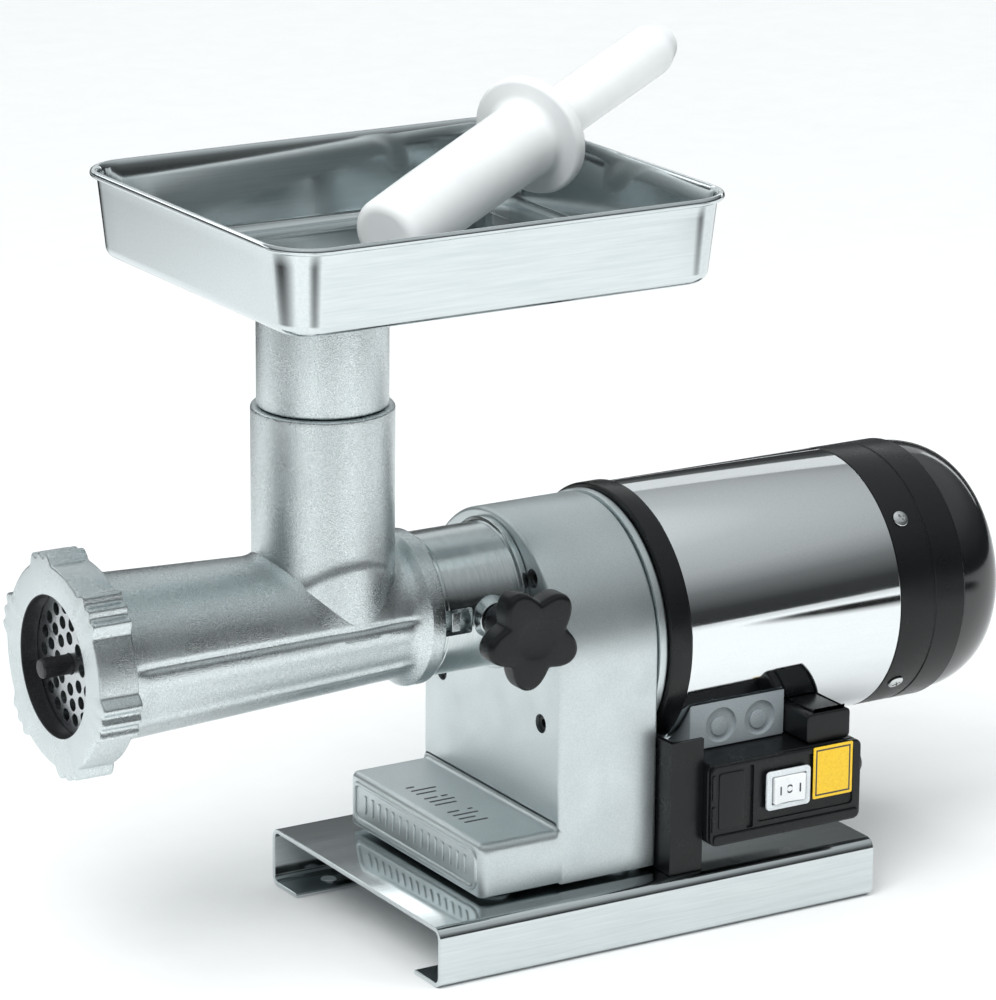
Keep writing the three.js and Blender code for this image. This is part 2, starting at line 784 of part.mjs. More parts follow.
add("motor_front_ring", motorFrontRing(), "blackPlastic");
add(
  "motor_shell",
  tubeX(shellFront, shellRear, shellRadius, shellRadius - shellWall, 0, motorZ, 32),
  "polished",
);
add(
  "stator_core",
  tubeX(
    coreFront, coreFront + coreLength, shellRadius - shellWall - gap, coreBore, 0, motorZ, 32,
  ),
  "laminations",
);
add("front_winding", winding(shellFront + 6, coreFront - gap), "copper");
add("rear_winding", winding(coreFront + coreLength + gap, shellRear - 10), "copper");
add(
  "motor_front_bearing",
  ballBearing(coverBossFront, smallBearingWidth, smallBearingRadius, smallShaft + gap, 0, motorZ),
  "steel",
);
add(
  "motor_rear_bearing",
  ballBearing(rearBearingFront, smallBearingWidth, smallBearingRadius, smallShaft + gap, 0, motorZ),
  "steel",
);
add("rotor_shaft", rotorShaft(), "steel");
add(
  "rotor_core",
  tubeX(coreFront, coreFront + coreLength, coreBore - 1, rotorBody + gap, 0, motorZ, 24),
  "laminations",
);
add("cooling_fan", coolingFan(), "blackPlastic");
add("motor_rear_shield", rearShield(), "casting");
add("rear_cap", rearCap(), "blackPlastic");
capScrewAngles.forEach((a, i) => add("cap_screw_" + (i + 1), capScrew(a), "steel"));

// ---- head ----

const keyFront = 5;
const keyLength = 5;
const keyHeight = 10;
const slotLength = 16.5;
const slotHeight = 13.5;

function headSocket() {
  const profile = [
    [gap, socketBore],
    [gap, socketRadius],
    [housingFront - 4, socketRadius],
    [housingFront - 3.4, socketRadius + 2.4],
    [housingFront - gap, socketRadius + 2.4],
    [housingFront - gap, socketBore],
    [gap, socketBore],
  ];
  const collar = turnedX(profile, 0, headZ);
  const boss = rodY(-bossFace, -socketBore - 2, bossRadius, clampX, headZ, 14);
  const bore = rodX(0, housingFront, socketBore, 0, headZ);
  const slot = box(
    0, slotLength, -socketRadius - 1, -socketBore + 5, headZ - slotHeight / 2, headZ + slotHeight / 2,
  );
  const padPocket = rodY(
    -socketBore - clampPadThickness - clampTravel - 2 * gap, -socketBore + 4,
    clampScrewRadius + 1.5 + gap, clampX, headZ, 20,
  );
  const screwHole = rodY(-bossFace - 1, -socketBore, clampScrewRadius + gap, clampX, headZ, 20);
  return cut(cut(joined(collar, boss), bore), slot, padPocket, screwHole);
}

const spigotRadius = socketBore - running;
const clampFlat = spigotRadius - 2.5; // depth of the flat that the pad bears on
const plateKeyRadius = 2;
const plateKeyX = (plateFront + plateRear) / 2;
const padTip = clampFlat + gap;
const padBack = padTip + clampPadThickness;

function grinderBody() {
  const profile = [
    [barrelEnd, 0],
    [barrelEnd, threadRadius],
    [-barrelLength, threadRadius],
    [-barrelLength, barrelFrontRadius],
    [-flangeThickness - 6, barrelRearRadius],
    [-flangeThickness, flangeRadius],
    [0, flangeRadius],
    [0, spigotRadius],
    [spigotLength, spigotRadius],
    [spigotLength, 0],
  ];
  const outside = turnedX(profile, 0, headZ, 32);
  const throat = rodZ(headZ, throatTop, throatRadius, throatX, 0, 28);
  const borePart = [
    [barrelEnd - 1, 0],
    [barrelEnd - 1, plateRadius + gap],
    [plateRear, plateRadius + gap],
    [plateRear, knifeRadius + 1.2],
    [augerFront, knifeRadius + 1.2],
    [augerFront, boreFrontRadius],
    [-barrelRearWall, boreRearRadius],
    [-barrelRearWall, 0],
  ];
  const bore = turnedX(borePart, 0, headZ);
  const shankHole = rodX(-barrelRearWall - 1, 2, shankRadius + running, 0, headZ, 20);
  const spigotHole = rodX(1, spigotLength + 1, spigotBore, 0, headZ, 20);
  const feed = rodZ(headZ, throatTop + 1, throatBore, throatX, 0, 28);
  const flat = box(
    clampX - 9, spigotLength + 1, -spigotRadius - 1, -clampFlat, headZ - 9, headZ + 9,
  );
  const key = box(
    keyFront, keyFront + keyLength, -socketRadius + 0.5, -spigotRadius + 2,
    headZ - keyHeight / 2, headZ + keyHeight / 2,
  );
  const pinHole = rodZ(
    headZ + plateRadius - 3, headZ + threadRadius + 1, plateKeyRadius + gap, plateKeyX, 0, 12,
  );
  return joined(cut(joined(outside, throat), bore, shankHole, spigotHole, feed, flat, pinHole), key);
}

function plateKey() {
  const from = headZ + plateRadius - 3.5;
  return rodZ(from, headZ + threadRadius - 1, plateKeyRadius, plateKeyX, 0, 12);
}

function grindingPlate() {
  const disc = rodX(plateFront, plateRear, plateRadius, 0, headZ);
  const holes = [rodX(plateFront - 1, plateRear + 1, pinRadius + running, 0, headZ, 14)];
  for (const [radius, count] of [[13, 8], [20.5, 13], [28, 18]])
    for (let k = 0; k < count; k += 1) {
      const angle = (2 * Math.PI * (k + 0.5 * (count % 2))) / count;
      const y = radius * Math.cos(angle);
      const z = headZ + radius * Math.sin(angle);
      holes.push(rodX(plateFront - 1, plateRear + 1, plateHoleRadius, y, z, 6));
    }
  const notch = box(
    plateFront - 1, plateRear + 1, -plateKeyRadius - running, plateKeyRadius + running,
    headZ + plateRadius - 4.5, headZ + plateRadius + 1,
  );
  return cut(disc, ...holes, notch);
}

function knife() {
  const blades = [];
  for (let k = 0; k < 4; k += 1) {
    const shape = new THREE.Shape();
    shape.moveTo(0, -6);
    shape.lineTo(knifeRadius, -2);
    shape.lineTo(knifeRadius - 2, 6);
    shape.lineTo(0, 8);
    blades.push(extrudedX(shape, knifeFront, knifeThickness).rotate([90 * k, 0, 0]));
  }
  const hub = rodX(knifeFront, knifeRear, 14, 0, 0, 16);
  const hole = squareHalf + gap;
  const square = box(knifeFront - 1, knifeRear + 1, -hole, hole, -hole, hole);
  return cut(joined(hub, ...blades), square).translate([0, 0, headZ]);
}

// The front pin: round through the plate, square through the knife, then a round root in the auger.
function augerPin() {
  const nose = turnedX(
    [
      [pinFront, 0],
      [pinFront, pinRadius - 1],
      [pinFront + 1, pinRadius],
      [plateRear + 1, pinRadius],
      [plateRear + 1, 0],
    ],
    0, headZ, 16,
  );
  const square = box(
    plateRear + gap, knifeRear + 2, -squareHalf, squareHalf, headZ - squareHalf, headZ + squareHalf,
  );
  const root = rodX(knifeRear + 1, augerFront + 20, pinRadius, 0, headZ, 16);
  return joined(nose, square, root);
}

// One turn of the section is a round core with a flight on one side; it twists along the length.
function auger() {
  const section = [
    [-13, augerFlight],
    [13, augerFlight],
    [26, augerCore + 3],
  ];
  for (let degrees = 60; degrees <= 300; degrees += 48) section.push([degrees, augerCore]);
  section.push([334, augerCore + 3]);
  const steps = Math.round(augerTurns * 9);
  const positions = [];
  for (let i = 0; i <= steps; i += 1) {
    const share = i / steps;
    const x = augerFront + share * (augerRear - augerFront);
    for (const [degrees, radius] of section) {
      const angle = (degrees * Math.PI) / 180 - share * augerTurns * 2 * Math.PI;
      positions.push(x, radius * Math.cos(angle), radius * Math.sin(angle));
    }
  }
  const count = section.length;
  const indices = [];
  for (let i = 0; i < steps; i += 1)
    for (let j = 0; j < count; j += 1) {
      const a = i * count + j;
      const b = i * count + ((j + 1) % count);
      indices.push(a, b, a + count, b, b + count, a + count);
    }
  for (const [row, x] of [[0, augerFront], [steps, augerRear]]) {
    const middle = positions.length / 3;
    positions.push(x, 0, 0);
    for (let j = 0; j < count; j += 1) {
      const a = row * count + j;
      const b = row * count + ((j + 1) % count);
      if (row === 0) indices.push(b, a, middle);
      else indices.push(a, b, middle);
    }
  }
  const geometry = new THREE.BufferGeometry();
  geometry.setAttribute("position", new THREE.Float32BufferAttribute(positions, 3));
  geometry.setIndex(indices);
  const screw = solid(geometry);
  const shank = turnedX(
    [
      [augerRear - 4, 0],
      [augerRear - 4, augerCore + 6],
      [augerRear, augerCore + 6],
      [augerRear, shankRadius],
      [couplingFront - 1, shankRadius],
      [couplingFront - 1, 0],
    ],
    0, 0, 20,
  );
  const tang = box(
    couplingFront - 2, couplingFront + tangLength,
    -tangWidth / 2, tangWidth / 2, -tangThickness / 2, tangThickness / 2,
  );
  const pinHole = rodX(augerFront - 1, augerFront + 20 + gap, pinRadius + gap, 0, 0, 12);
  return cut(joined(screw, shank, tang), pinHole).translate([0, 0, headZ]);
}

function thrustWasher() {
  const from = augerRear + gap;
  return tubeX(from, -barrelRearWall - gap, augerCore + 9, shankRadius + running, 0, headZ, 20);
}

// Six lugs, each a group of ridges, on a round nut with a lip that holds the plate.
function ringNut() {
  const shape = new THREE.Shape();
  const ridge = [
    [-12, ringRadius],
    [-11, ringLugRadius - 1],
    [-5, ringLugRadius],
    [-3.5, ringLugRadius - 1.6],
    [-2, ringLugRadius],
    [2, ringLugRadius],
    [3.5, ringLugRadius - 1.6],
    [5, ringLugRadius],
    [11, ringLugRadius - 1],
    [12, ringRadius],
    [30, ringRadius],
  ];
  for (let lug = 0; lug < ringLugs; lug += 1)
    for (const [degrees, radius] of ridge) {
      const angle = ((degrees + ringLugPhase) * Math.PI) / 180 + (lug * 2 * Math.PI) / ringLugs;
      const point = [radius * Math.cos(angle), radius * Math.sin(angle)];
      if (lug === 0 && degrees === -12) shape.moveTo(...point);
      else shape.lineTo(...point);
    }
  const nut = extrudedX(shape, ringFront, ringDepth).translate([0, 0, headZ]);
  const opening = rodX(ringFront - 1, ringFront + ringLip + 1, ringOpening, 0, headZ);
  const thread = rodX(
    ringFront + ringLip, ringFront + ringDepth + 1, threadRadius + running, 0, headZ,
  );
  return cut(nut, opening, thread);
}

add("head_socket", headSocket(), "polished");
add("grinder_body", grinderBody(), "tinned");
add("plate_key", plateKey(), "steel");
add("grinding_plate", grindingPlate(), "steel");
add("knife", knife(), "steel");
add("auger_pin", augerPin(), "darkSteel");
add("auger", auger(), "tinned");
add("thrust_washer", thrustWasher(), "brass");
add("ring_nut", ringNut(), "tinned");

// ---- feed neck, tray and pusher ----

function feedNeck() {
  const shoulder = throatTop + gap;
  const profile = [
    [shoulder - neckSpigot, neckBore],
    [shoulder - neckSpigot, throatBore - running],
    [shoulder, throatBore - running],
    [shoulder, neckRadius],
    [trayFloorZ - gap, neckRadius],
    [trayFloorZ - gap, neckBore],
    [shoulder - neckSpigot, neckBore],
  ];
  return turnedZ(profile, throatX, 0);
}

// One closed ring of points round a rectangle with rounded corners.
function trayRing(inset, z, steps = 4) {
  const halfX = trayLength / 2 - inset;
  const halfY = trayWidth / 2 - inset;
  const radius = trayCorner - inset;
  const points = [];
  for (let corner = 0; corner < 4; corner += 1) {
    const signX = corner === 0 || corner === 3 ? 1 : -1;
    const signY = corner < 2 ? 1 : -1;
    for (let step = 0; step <= steps; step += 1) {
      const angle = ((corner + step / steps) * Math.PI) / 2;
      const x = signX * (halfX - radius) + radius * Math.cos(angle);
      const y = signY * (halfY - radius) + radius * Math.sin(angle);
      points.push([trayCentreX + x, y, z]);
    }
  }
  return points;
}

// The tray: rings carried from the outside of the floor up over the rolled rim and down inside.
function feedTray() {
  const top = trayFloorZ + trayDepth;
  const bend = 6;
  const wallOut = trayRim;
  const wallIn = trayRim + traySheet;
  const rings = [
    [wallOut + trayDraft + bend, trayFloorZ],
    [wallOut + trayDraft, trayFloorZ + bend],
    [wallOut, top - 4.5],
    [0, top - 3.5],
    [0, top - 1],
    [2, top],
    [wallIn, top - 1.2],
    [wallIn + trayDraft, trayFloorZ + bend],
    [wallIn + trayDraft + bend - 1, trayFloorZ + traySheet],
  ].map(([inset, z]) => trayRing(inset, z));
  const count = rings[0].length;
  const positions = rings.flat(2);
  const indices = [];
  for (let i = 0; i + 1 < rings.length; i += 1)
    for (let j = 0; j < count; j += 1) {
      const a = i * count + j;
      const b = i * count + ((j + 1) % count);
      indices.push(a, b, a + count, b, b + count, a + count);
    }
  for (const row of [0, rings.length - 1])
    for (let j = 1; j + 1 < count; j += 1) {
      const a = row * count;
      if (row === 0) indices.push(a, a + j + 1, a + j);
      else indices.push(a, a + j, a + j + 1);
    }
  const geometry = new THREE.BufferGeometry();
  geometry.setAttribute("position", new THREE.Float32BufferAttribute(positions, 3));
  geometry.setIndex(indices);
  const collarOuter = neckBore - running;
  const collar = rodZ(trayFloorZ - trayCollarLength, trayFloorZ + 1, collarOuter, throatX, 0, 24);
  const hole = rodZ(
    trayFloorZ - trayCollarLength - 1, trayFloorZ + 10, collarOuter - traySheet, throatX, 0, 24,
  );
  return cut(joined(solid(geometry), collar), hole);
}

// The pusher lies in the tray: its tip on the floor, its handle over the rear rim.
const tipZ = trayFloorZ + traySheet + pusherBody + 1;
const rimZ = trayFloorZ + trayDepth;
const turn = (pusherTurn * Math.PI) / 180;
const pusherRun = (trayCentreX + trayLength / 2 - pusherTipX) / Math.cos(turn);
const pusherRise = rimZ + pusherHandle + 1.5 - tipZ;
const pusherTilt = Math.atan2(pusherRise, pusherRun);

function pusher() {
  const discEnd = pusherBodyLength + pusherDiscThickness;
  const handleStart = discEnd + 3;
  const end = discEnd + pusherHandleLength - pusherDiscThickness;
  const profile = [
    [0, 0],
    [0, pusherBody - 6],
    [2, pusherBody - 2.5],
    [7, pusherBody - 0.5],
    [pusherBodyLength - 3, pusherBody],
    [pusherBodyLength, pusherBody + 3],
    [pusherBodyLength, pusherDisc - 3],
    [pusherBodyLength + 3, pusherDisc],
    [discEnd - 3, pusherDisc],
    [discEnd, pusherDisc - 3],
    [discEnd, pusherHandle + 2],
    [handleStart, pusherHandle - 0.5],
    [end - pusherHandle, pusherHandle],
    [end - 6, pusherHandle - 2.2],
    [end - 1.5, pusherHandle - 7],
    [end, 0],
  ];
  const points = profile.map(([x, radius]) => new THREE.Vector2(radius, x));
  const geometry = new THREE.LatheGeometry(points, 18);
  geometry.rotateZ(-Math.PI / 2);
  geometry.rotateY(-pusherTilt);
  geometry.rotateZ(turn);
  geometry.translate(pusherTipX, pusherTipY, tipZ);
  return solid(geometry);
}

add("feed_neck", feedNeck(), "tinned");
add("feed_tray", feedTray(), "stainless");
add("pusher", pusher(), "white");

// ---- clamp ----

function clampPad() {
  return rodY(-padBack, -padTip, clampScrewRadius + 1.5, clampX, headZ, 20);
}

const screwEnd = knobFace - 9;

function clampScrew() {
  return rodY(-screwEnd, -padBack - gap, clampScrewRadius, clampX, headZ, 20);
}

function clampKnob() {
  const shape = new THREE.Shape();
  const steps = knobLobes * 6;
  for (let k = 0; k < steps; k += 1) {
    const angle = (2 * Math.PI * k) / steps;
    const wave = 0.5 + 0.5 * Math.cos(knobLobes * (angle - Math.PI / 4));
    const radius = knobRadius - 8 * (1 - wave ** 0.8);
    const point = [clampX + radius * Math.cos(angle), headZ + radius * Math.sin(angle)];
    if (k === 0) shape.moveTo(...point);
    else shape.lineTo(...point);
  }
  const star = extrudedY(shape, -knobFace + knobThickness, knobThickness);
  const neck = turnedY(
    [
      [-knobFace + knobThickness - 2, 0],
      [-knobFace + knobThickness - 2, knobNeckRadius + 5],
      [-knobFace + knobThickness + 6, knobNeckRadius],
      [-bossFace - 3, knobNeckRadius],
      [-bossFace - 3, 0],
    ],
    clampX, headZ, 24,
  );
  const hole = rodY(-screwEnd - gap, -bossFace, clampScrewRadius + gap, clampX, headZ, 20);
  return cut(joined(star, neck), hole);
}

add("clamp_pad", clampPad(), "brass");
add("clamp_screw", clampScrew(), "steel");
add("clamp_knob", clampKnob(), "blackPlastic");

// ---- switch box ----

const boxRear = boxFront + boxLength;
const panelFace = boxFace + gap + panelThickness;
const coverBlockFront = 190.5;
const coverBlockLength = 27;
const coverBlockTop = 106;
const glandRadius = 7;
const glandY = -boxFace + boxDepth / 2;
const glandZ = boxBottom + boxHeight / 2;

// An angle bracket stands on the base behind the casting and carries the box.
function boxBracket() {
  const inner = boxFace - 34;
  const shape = new THREE.Shape();
  shape.moveTo(coverFront, -boxFace + 4);
  shape.lineTo(boxFront - gap, -boxFace + 4);
  shape.lineTo(boxFront - gap, -boxFace + 4 + boxWall);
  shape.lineTo(coverFront + boxWall, -boxFace + 4 + boxWall);
  shape.lineTo(coverFront + boxWall, -inner);
  shape.lineTo(coverFront, -inner);
  const geometry = new THREE.ExtrudeGeometry(shape, { depth: 103 - baseHeight, bevelEnabled: false });
  geometry.translate(0, 0, baseHeight + gap);
  const clearance = rodX(coverFront - 1, boxFront + 1, endRingRadius + 1, 0, motorZ);
  return cut(solid(geometry), clearance);
}

function switchBox() {
  const outer = extrudedY(
    roundedRectangle(boxFront, boxRear, boxBottom, boxTop, 4), -boxFace + boxDepth, boxDepth, 3,
  );
  const hollow = extrudedY(
    roundedRectangle(
      boxFront + boxWall, boxRear - boxWall, boxBottom + boxWall, boxTop - boxWall, 2,
    ),
    -boxFace + boxDepth - boxWall, boxDepth, 3,
  );
  const glandHole = rodX(boxRear - 5, boxRear + 1, glandRadius + gap, glandY, glandZ, 16);
  return cut(outer, hollow, glandHole);
}

function cableGland() {
  const profile = [
    [boxRear - 8, 4],
    [boxRear - 8, glandRadius],
    [boxRear + gap, glandRadius],
    [boxRear + gap, glandRadius + 3],
    [boxRear + 6, glandRadius + 3],
    [boxRear + 14, glandRadius - 1],
    [boxRear + 14, 4],
    [boxRear - 8, 4],
  ];
  return turnedX(profile, glandY, glandZ, 12);
}

function switchPanel() {
  const panel = extrudedY(
    roundedRectangle(boxFront, boxRear, boxBottom, boxTop, 4), -boxFace - gap, panelThickness, 3,
  );
  const halfX = switchWidth / 2 - 1.5;
  const halfZ = switchHeight / 2 - 1.5;
  const opening = box(
    switchX - halfX, switchX + halfX, -panelFace - 1, -boxFace, switchZ - halfZ, switchZ + halfZ,
  );
  const groove = box(
    switchX - 25, switchX - 21, -panelFace - 1, -panelFace + 1.2, boxBottom + 6, boxTop - 3,
  );
  return cut(panel, opening, groove);
}

// The switch body passes through the panel, and its collar rests on the panel's face.
function switchBody() {
  const collar = box(
    switchX - switchWidth / 2, switchX + switchWidth / 2, -panelFace - gap - 2, -panelFace - gap,
    switchZ - switchHeight / 2, switchZ + switchHeight / 2,
  );
  const halfX = switchWidth / 2 - 1.5 - gap;
  const halfZ = switchHeight / 2 - 1.5 - gap;
  const core = box(
    switchX - halfX, switchX + halfX, -panelFace - 1, -boxFace + 18, switchZ - halfZ, switchZ + halfZ,
  );
  const well = box(
    switchX - halfX + 1, switchX + halfX - 1, -panelFace - 4, -panelFace + 5,
    switchZ - halfZ + 1, switchZ + halfZ - 1,
  );
  return cut(joined(collar, core), well);
}

// The rocker's face is a shallow V, with a flat half on each side of the middle.
function rocker() {
  const halfX = switchWidth / 2 - 2.5 - gap - rockerClearance;
  const halfZ = switchHeight / 2 - 2.5 - gap - rockerClearance / 2;
  const shape = new THREE.Shape();
  shape.moveTo(-halfX, panelFace + 4.2);
  shape.lineTo(0, panelFace + 2.8);
  shape.lineTo(halfX, panelFace + 4.2);
  shape.lineTo(halfX, panelFace - 0.5);
  shape.lineTo(2.5, panelFace - 3.5);
  shape.lineTo(-2.5, panelFace - 3.5);
  shape.lineTo(-halfX, panelFace - 0.5);
  const geometry = new THREE.ExtrudeGeometry(shape, { depth: 2 * halfZ, bevelEnabled: false });
  geometry.scale(1, -1, 1);
  geometry.translate(switchX, 0, switchZ - halfZ);
  return solid(geometry);
}

// A block over the box's rear end covers the capacitor's terminals; the label is on its face.
function capacitorCover() {
  const block = extrudedY(
    roundedRectangle(
      coverBlockFront, coverBlockFront + coverBlockLength, boxTop + gap, coverBlockTop, 2,
    ),
    -boxFace + 30, 30 - 1, 3,
  );
  const shellCut = rodX(
    coverBlockFront - 1, coverBlockFront + coverBlockLength + 1, shellRadius + 1, 0, motorZ,
  );
  return cut(block, shellCut);
}

function capacitor() {
  return rodX(boxFront + 5, boxFront + 28, 9, glandY, glandZ, 14);
}

function plainLabel() {
  const x = coverBlockFront + 1;
  const from = -panelFace - gap;
  return box(x, x + labelWidth, from - 0.5, from, boxTop - labelHeight, boxTop);
}

// The grey terminal block closes the gap between the box and the motor; it has two blanked entries.
function terminalBlock() {
  const front = -boxFace + terminalInset;
  const block = box(
    boxFront + 3, coverBlockFront - gap, front, front + 26, boxTop + gap, boxTop + terminalHeight,
  );
  const shellCut = rodX(boxFront - 1, coverBlockFront, shellRadius + 1, 0, motorZ);
  const blanks = [boxFront + 22, boxFront + 46].map((x) =>
    rodY(front - 1, front + 2, 9.5, x, boxTop + 12, 16),
  );
  return cut(block, shellCut, ...blanks);
}

add("box_bracket", boxBracket(), "blackPlastic");
add("switch_box", switchBox(), "blackPlastic");
add("cable_gland", cableGland(), "blackPlastic");
add("switch_panel", switchPanel(), "blackPlastic");
add("switch_body", switchBody(), "clear");
add("rocker", rocker(), "white");
add("capacitor_cover", capacitorCover(), "blackPlastic");
add("capacitor", capacitor(), "greyPlastic");
add("plain_label", plainLabel(), "yellow");
add("terminal_block", terminalBlock(), "greyPlastic");

machine.position.x = -(pinFront + capRear) / 2;

export default machine;
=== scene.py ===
# Looks for the bench-top electric meat grinder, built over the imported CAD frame.
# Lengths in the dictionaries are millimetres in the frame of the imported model; meshes are stored in metres.
import json
import math
import bpy
import bmesh
import numpy as np
from mathutils import Euler, Matrix, Vector

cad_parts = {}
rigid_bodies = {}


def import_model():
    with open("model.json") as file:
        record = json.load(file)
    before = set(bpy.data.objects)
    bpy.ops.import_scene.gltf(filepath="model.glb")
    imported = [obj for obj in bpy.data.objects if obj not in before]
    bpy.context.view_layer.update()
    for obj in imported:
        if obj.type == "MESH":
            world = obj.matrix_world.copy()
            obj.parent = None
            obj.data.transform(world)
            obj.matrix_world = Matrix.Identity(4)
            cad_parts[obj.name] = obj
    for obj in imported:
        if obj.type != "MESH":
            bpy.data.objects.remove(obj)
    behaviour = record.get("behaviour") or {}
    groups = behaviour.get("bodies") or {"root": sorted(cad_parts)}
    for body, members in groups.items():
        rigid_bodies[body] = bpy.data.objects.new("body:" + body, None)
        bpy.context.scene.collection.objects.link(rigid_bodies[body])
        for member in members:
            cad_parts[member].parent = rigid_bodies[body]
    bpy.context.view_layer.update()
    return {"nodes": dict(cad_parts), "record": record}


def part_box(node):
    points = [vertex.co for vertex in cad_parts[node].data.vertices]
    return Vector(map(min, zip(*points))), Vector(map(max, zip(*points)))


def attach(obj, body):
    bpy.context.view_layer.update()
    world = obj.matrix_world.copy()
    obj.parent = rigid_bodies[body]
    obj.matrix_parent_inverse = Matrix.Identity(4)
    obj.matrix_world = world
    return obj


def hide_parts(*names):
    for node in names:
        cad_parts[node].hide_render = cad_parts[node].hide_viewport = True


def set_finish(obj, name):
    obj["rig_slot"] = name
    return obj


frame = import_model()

pi = math.pi
scene = bpy.context.scene
print("stage: frame loaded")


# ---- shape helpers ----

def span(node):
    # a CAD node's box in millimetres: x0, x1, y0, y1, z0, z1
    low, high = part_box(node)
    return [1000 * v for pair in zip(low, high) for v in pair]


def finished(name, mesh, body, nodes, slotName, sharpAngle=38):
    # weld, turn the faces outward, mark the sharp edges, and hand the piece to its body
    work = bmesh.new()
    work.from_mesh(mesh)
    bmesh.ops.remove_doubles(work, verts=work.verts, dist=2e-7)
    bmesh.ops.recalc_face_normals(work, faces=work.faces)
    work.to_mesh(mesh)
    work.free()
    mesh.shade_smooth()
    mesh.set_sharp_from_angle(angle=math.radians(sharpAngle))
    obj = bpy.data.objects.new(name, mesh)
    scene.collection.objects.link(obj)
    if body:
        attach(obj, body)
    if nodes:
        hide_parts(*nodes)
    if slotName:
        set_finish(obj, slotName)
    return obj


def gridMesh(name, grid, joinRows=False, capped=True):
    # rows of points, each row a closed loop; joinRows closes the last row onto the first
    grid = np.asarray(grid, float)
    rows, cols = grid.shape[:2]
    last = rows if joinRows else rows - 1
    i, j = np.meshgrid(np.arange(last), np.arange(cols), indexing="ij")
    a = i * cols + j
    b = i * cols + (j + 1) % cols
    c = ((i + 1) % rows) * cols + (j + 1) % cols
    d = ((i + 1) % rows) * cols + j
    faces = np.stack([a, b, c, d], -1).reshape(-1, 4).tolist()
    if capped and not joinRows:
        faces.append(list(range(cols))[::-1])
        faces.append(list(range((rows - 1) * cols, rows * cols)))
    mesh = bpy.data.meshes.new(name)
    mesh.from_pydata((grid.reshape(-1, 3) * 0.001).tolist(), [], faces)
    return mesh


def rounded(points, steps=5, closed=False):
    # a polyline of [u, v] or [u, v, radius] points; each radius becomes a tangent arc
    points = [(p[0], p[1], p[2] if len(p) > 2 else 0) for p in points]
    out = []
    count = len(points)
    for k, (u, v, radius) in enumerate(points):
        here = np.array([u, v], float)
        if radius <= 0 or (not closed and k in (0, count - 1)):
            out.append(here)
            continue
        before = np.array(points[k - 1][:2], float) - here
        after = np.array(points[(k + 1) % count][:2], float) - here
        before /= np.linalg.norm(before)
        after /= np.linalg.norm(after)
        half = math.acos(max(-1, min(1, before @ after))) / 2
        if half > pi / 2 - 0.02:
            out.append(here)
            continue
        middle = before + after
        centre = here + middle / np.linalg.norm(middle) * radius / math.sin(half)
        start = here + before * radius / math.tan(half) - centre
        sweep = pi - 2 * half
        turn = np.sign(start[0] * (-before[1]) - start[1] * (-before[0]))
        for s in np.linspace(0, sweep, steps + 1):
            c, n = math.cos(s), turn * math.sin(s)
            out.append(centre + [c * start[0] - n * start[1], n * start[0] + c * start[1]])
    return np.array(out)


def turnedGrid(profile, centre, axis, segments=128, lift=None):
    # revolve [along, radius] points about a line:
    # point = centre + along * axis + radius * (cos * side + sin * up)
    profile = np.asarray(profile, float)
    axis = np.asarray(axis, float) / np.linalg.norm(axis)
    side = np.cross([0, 0, 1] if abs(axis[2]) < 0.9 else [1, 0, 0], axis)
    side /= np.linalg.norm(side)
    up = np.cross(axis, side)
    angle = np.linspace(0, 2 * pi, segments, endpoint=False)
    along, radius = profile[:, 0, None], profile[:, 1, None] + 0 * angle[None]
    if lift is not None:
        radius = radius + lift(along, radius, angle[None])
    along = along + 0 * radius
    return (np.asarray(centre, float) + along[..., None] * axis
            + (radius * np.cos(angle))[..., None] * side + (radius * np.sin(angle))[..., None] * up)


def turned(name, profile, centre, axis, segments=128, ring=False, lift=None):
    return gridMesh(name, turnedGrid(profile, centre, axis, segments, lift), joinRows=ring)


def inset(outline, amount):
    # move a closed outline inward by amount along its own normals
    before = outline - np.roll(outline, 1, 0)
    after = np.roll(outline, -1, 0) - outline
    before /= np.linalg.norm(before, axis=1, keepdims=True) + 1e-12
    after /= np.linalg.norm(after, axis=1, keepdims=True) + 1e-12
    area = np.sum(outline[:, 0] * np.roll(outline[:, 1], -1) - np.roll(outline[:, 0], -1) * outline[:, 1])
    normal = before + after
    normal /= np.linalg.norm(normal, axis=1, keepdims=True) + 1e-12
    spread = np.sqrt(np.clip((1 + np.sum(before * after, 1)) / 2, 0.3, 1))[:, None]
    return outline + np.sign(area) * amount * np.stack([-normal[:, 1], normal[:, 0]], 1) / spread


def prism(name, outline, start, end, edge, plane="yz", steps=4):
    # an outline carried along the third axis, with both end edges rounded by quarter circles
    outline = np.asarray(outline, float)
    way = 1 if end > start else -1
    quarter = np.linspace(0, pi / 2, steps + 1)
    stations = [(start + way * edge * (1 - math.sin(q)), edge * (1 - math.cos(q))) for q in quarter[::-1]]
    stations += [(end - way * edge * (1 - math.sin(q)), edge * (1 - math.cos(q))) for q in quarter]
    rings = []
    for station, shrink in stations:
        flat = inset(outline, shrink)
        third = np.full(len(flat), station)
        columns = {"yz": (third, flat[:, 0], flat[:, 1]), "xz": (flat[:, 0], third, flat[:, 1]),
                   "xy": (flat[:, 0], flat[:, 1], third)}[plane]
        rings.append(np.stack(columns, 1))
    return gridMesh(name, rings)


def slab(name, box, radius, edge, plane="xz", steps=5):
    # a block with rounded corners in one plane and rounded edges along the third axis
    x0, x1, y0, y1, z0, z1 = box
    u0, u1, v0, v1, w0, w1 = {"xz": (x0, x1, z0, z1, y0, y1), "yz": (y0, y1, z0, z1, x0, x1),
                              "xy": (x0, x1, y0, y1, z0, z1)}[plane]
    corners = [(u0, v0, radius), (u1, v0, radius), (u1, v1, radius), (u0, v1, radius)]
    return prism(name, rounded(corners, steps, closed=True), w0, w1, edge, plane)


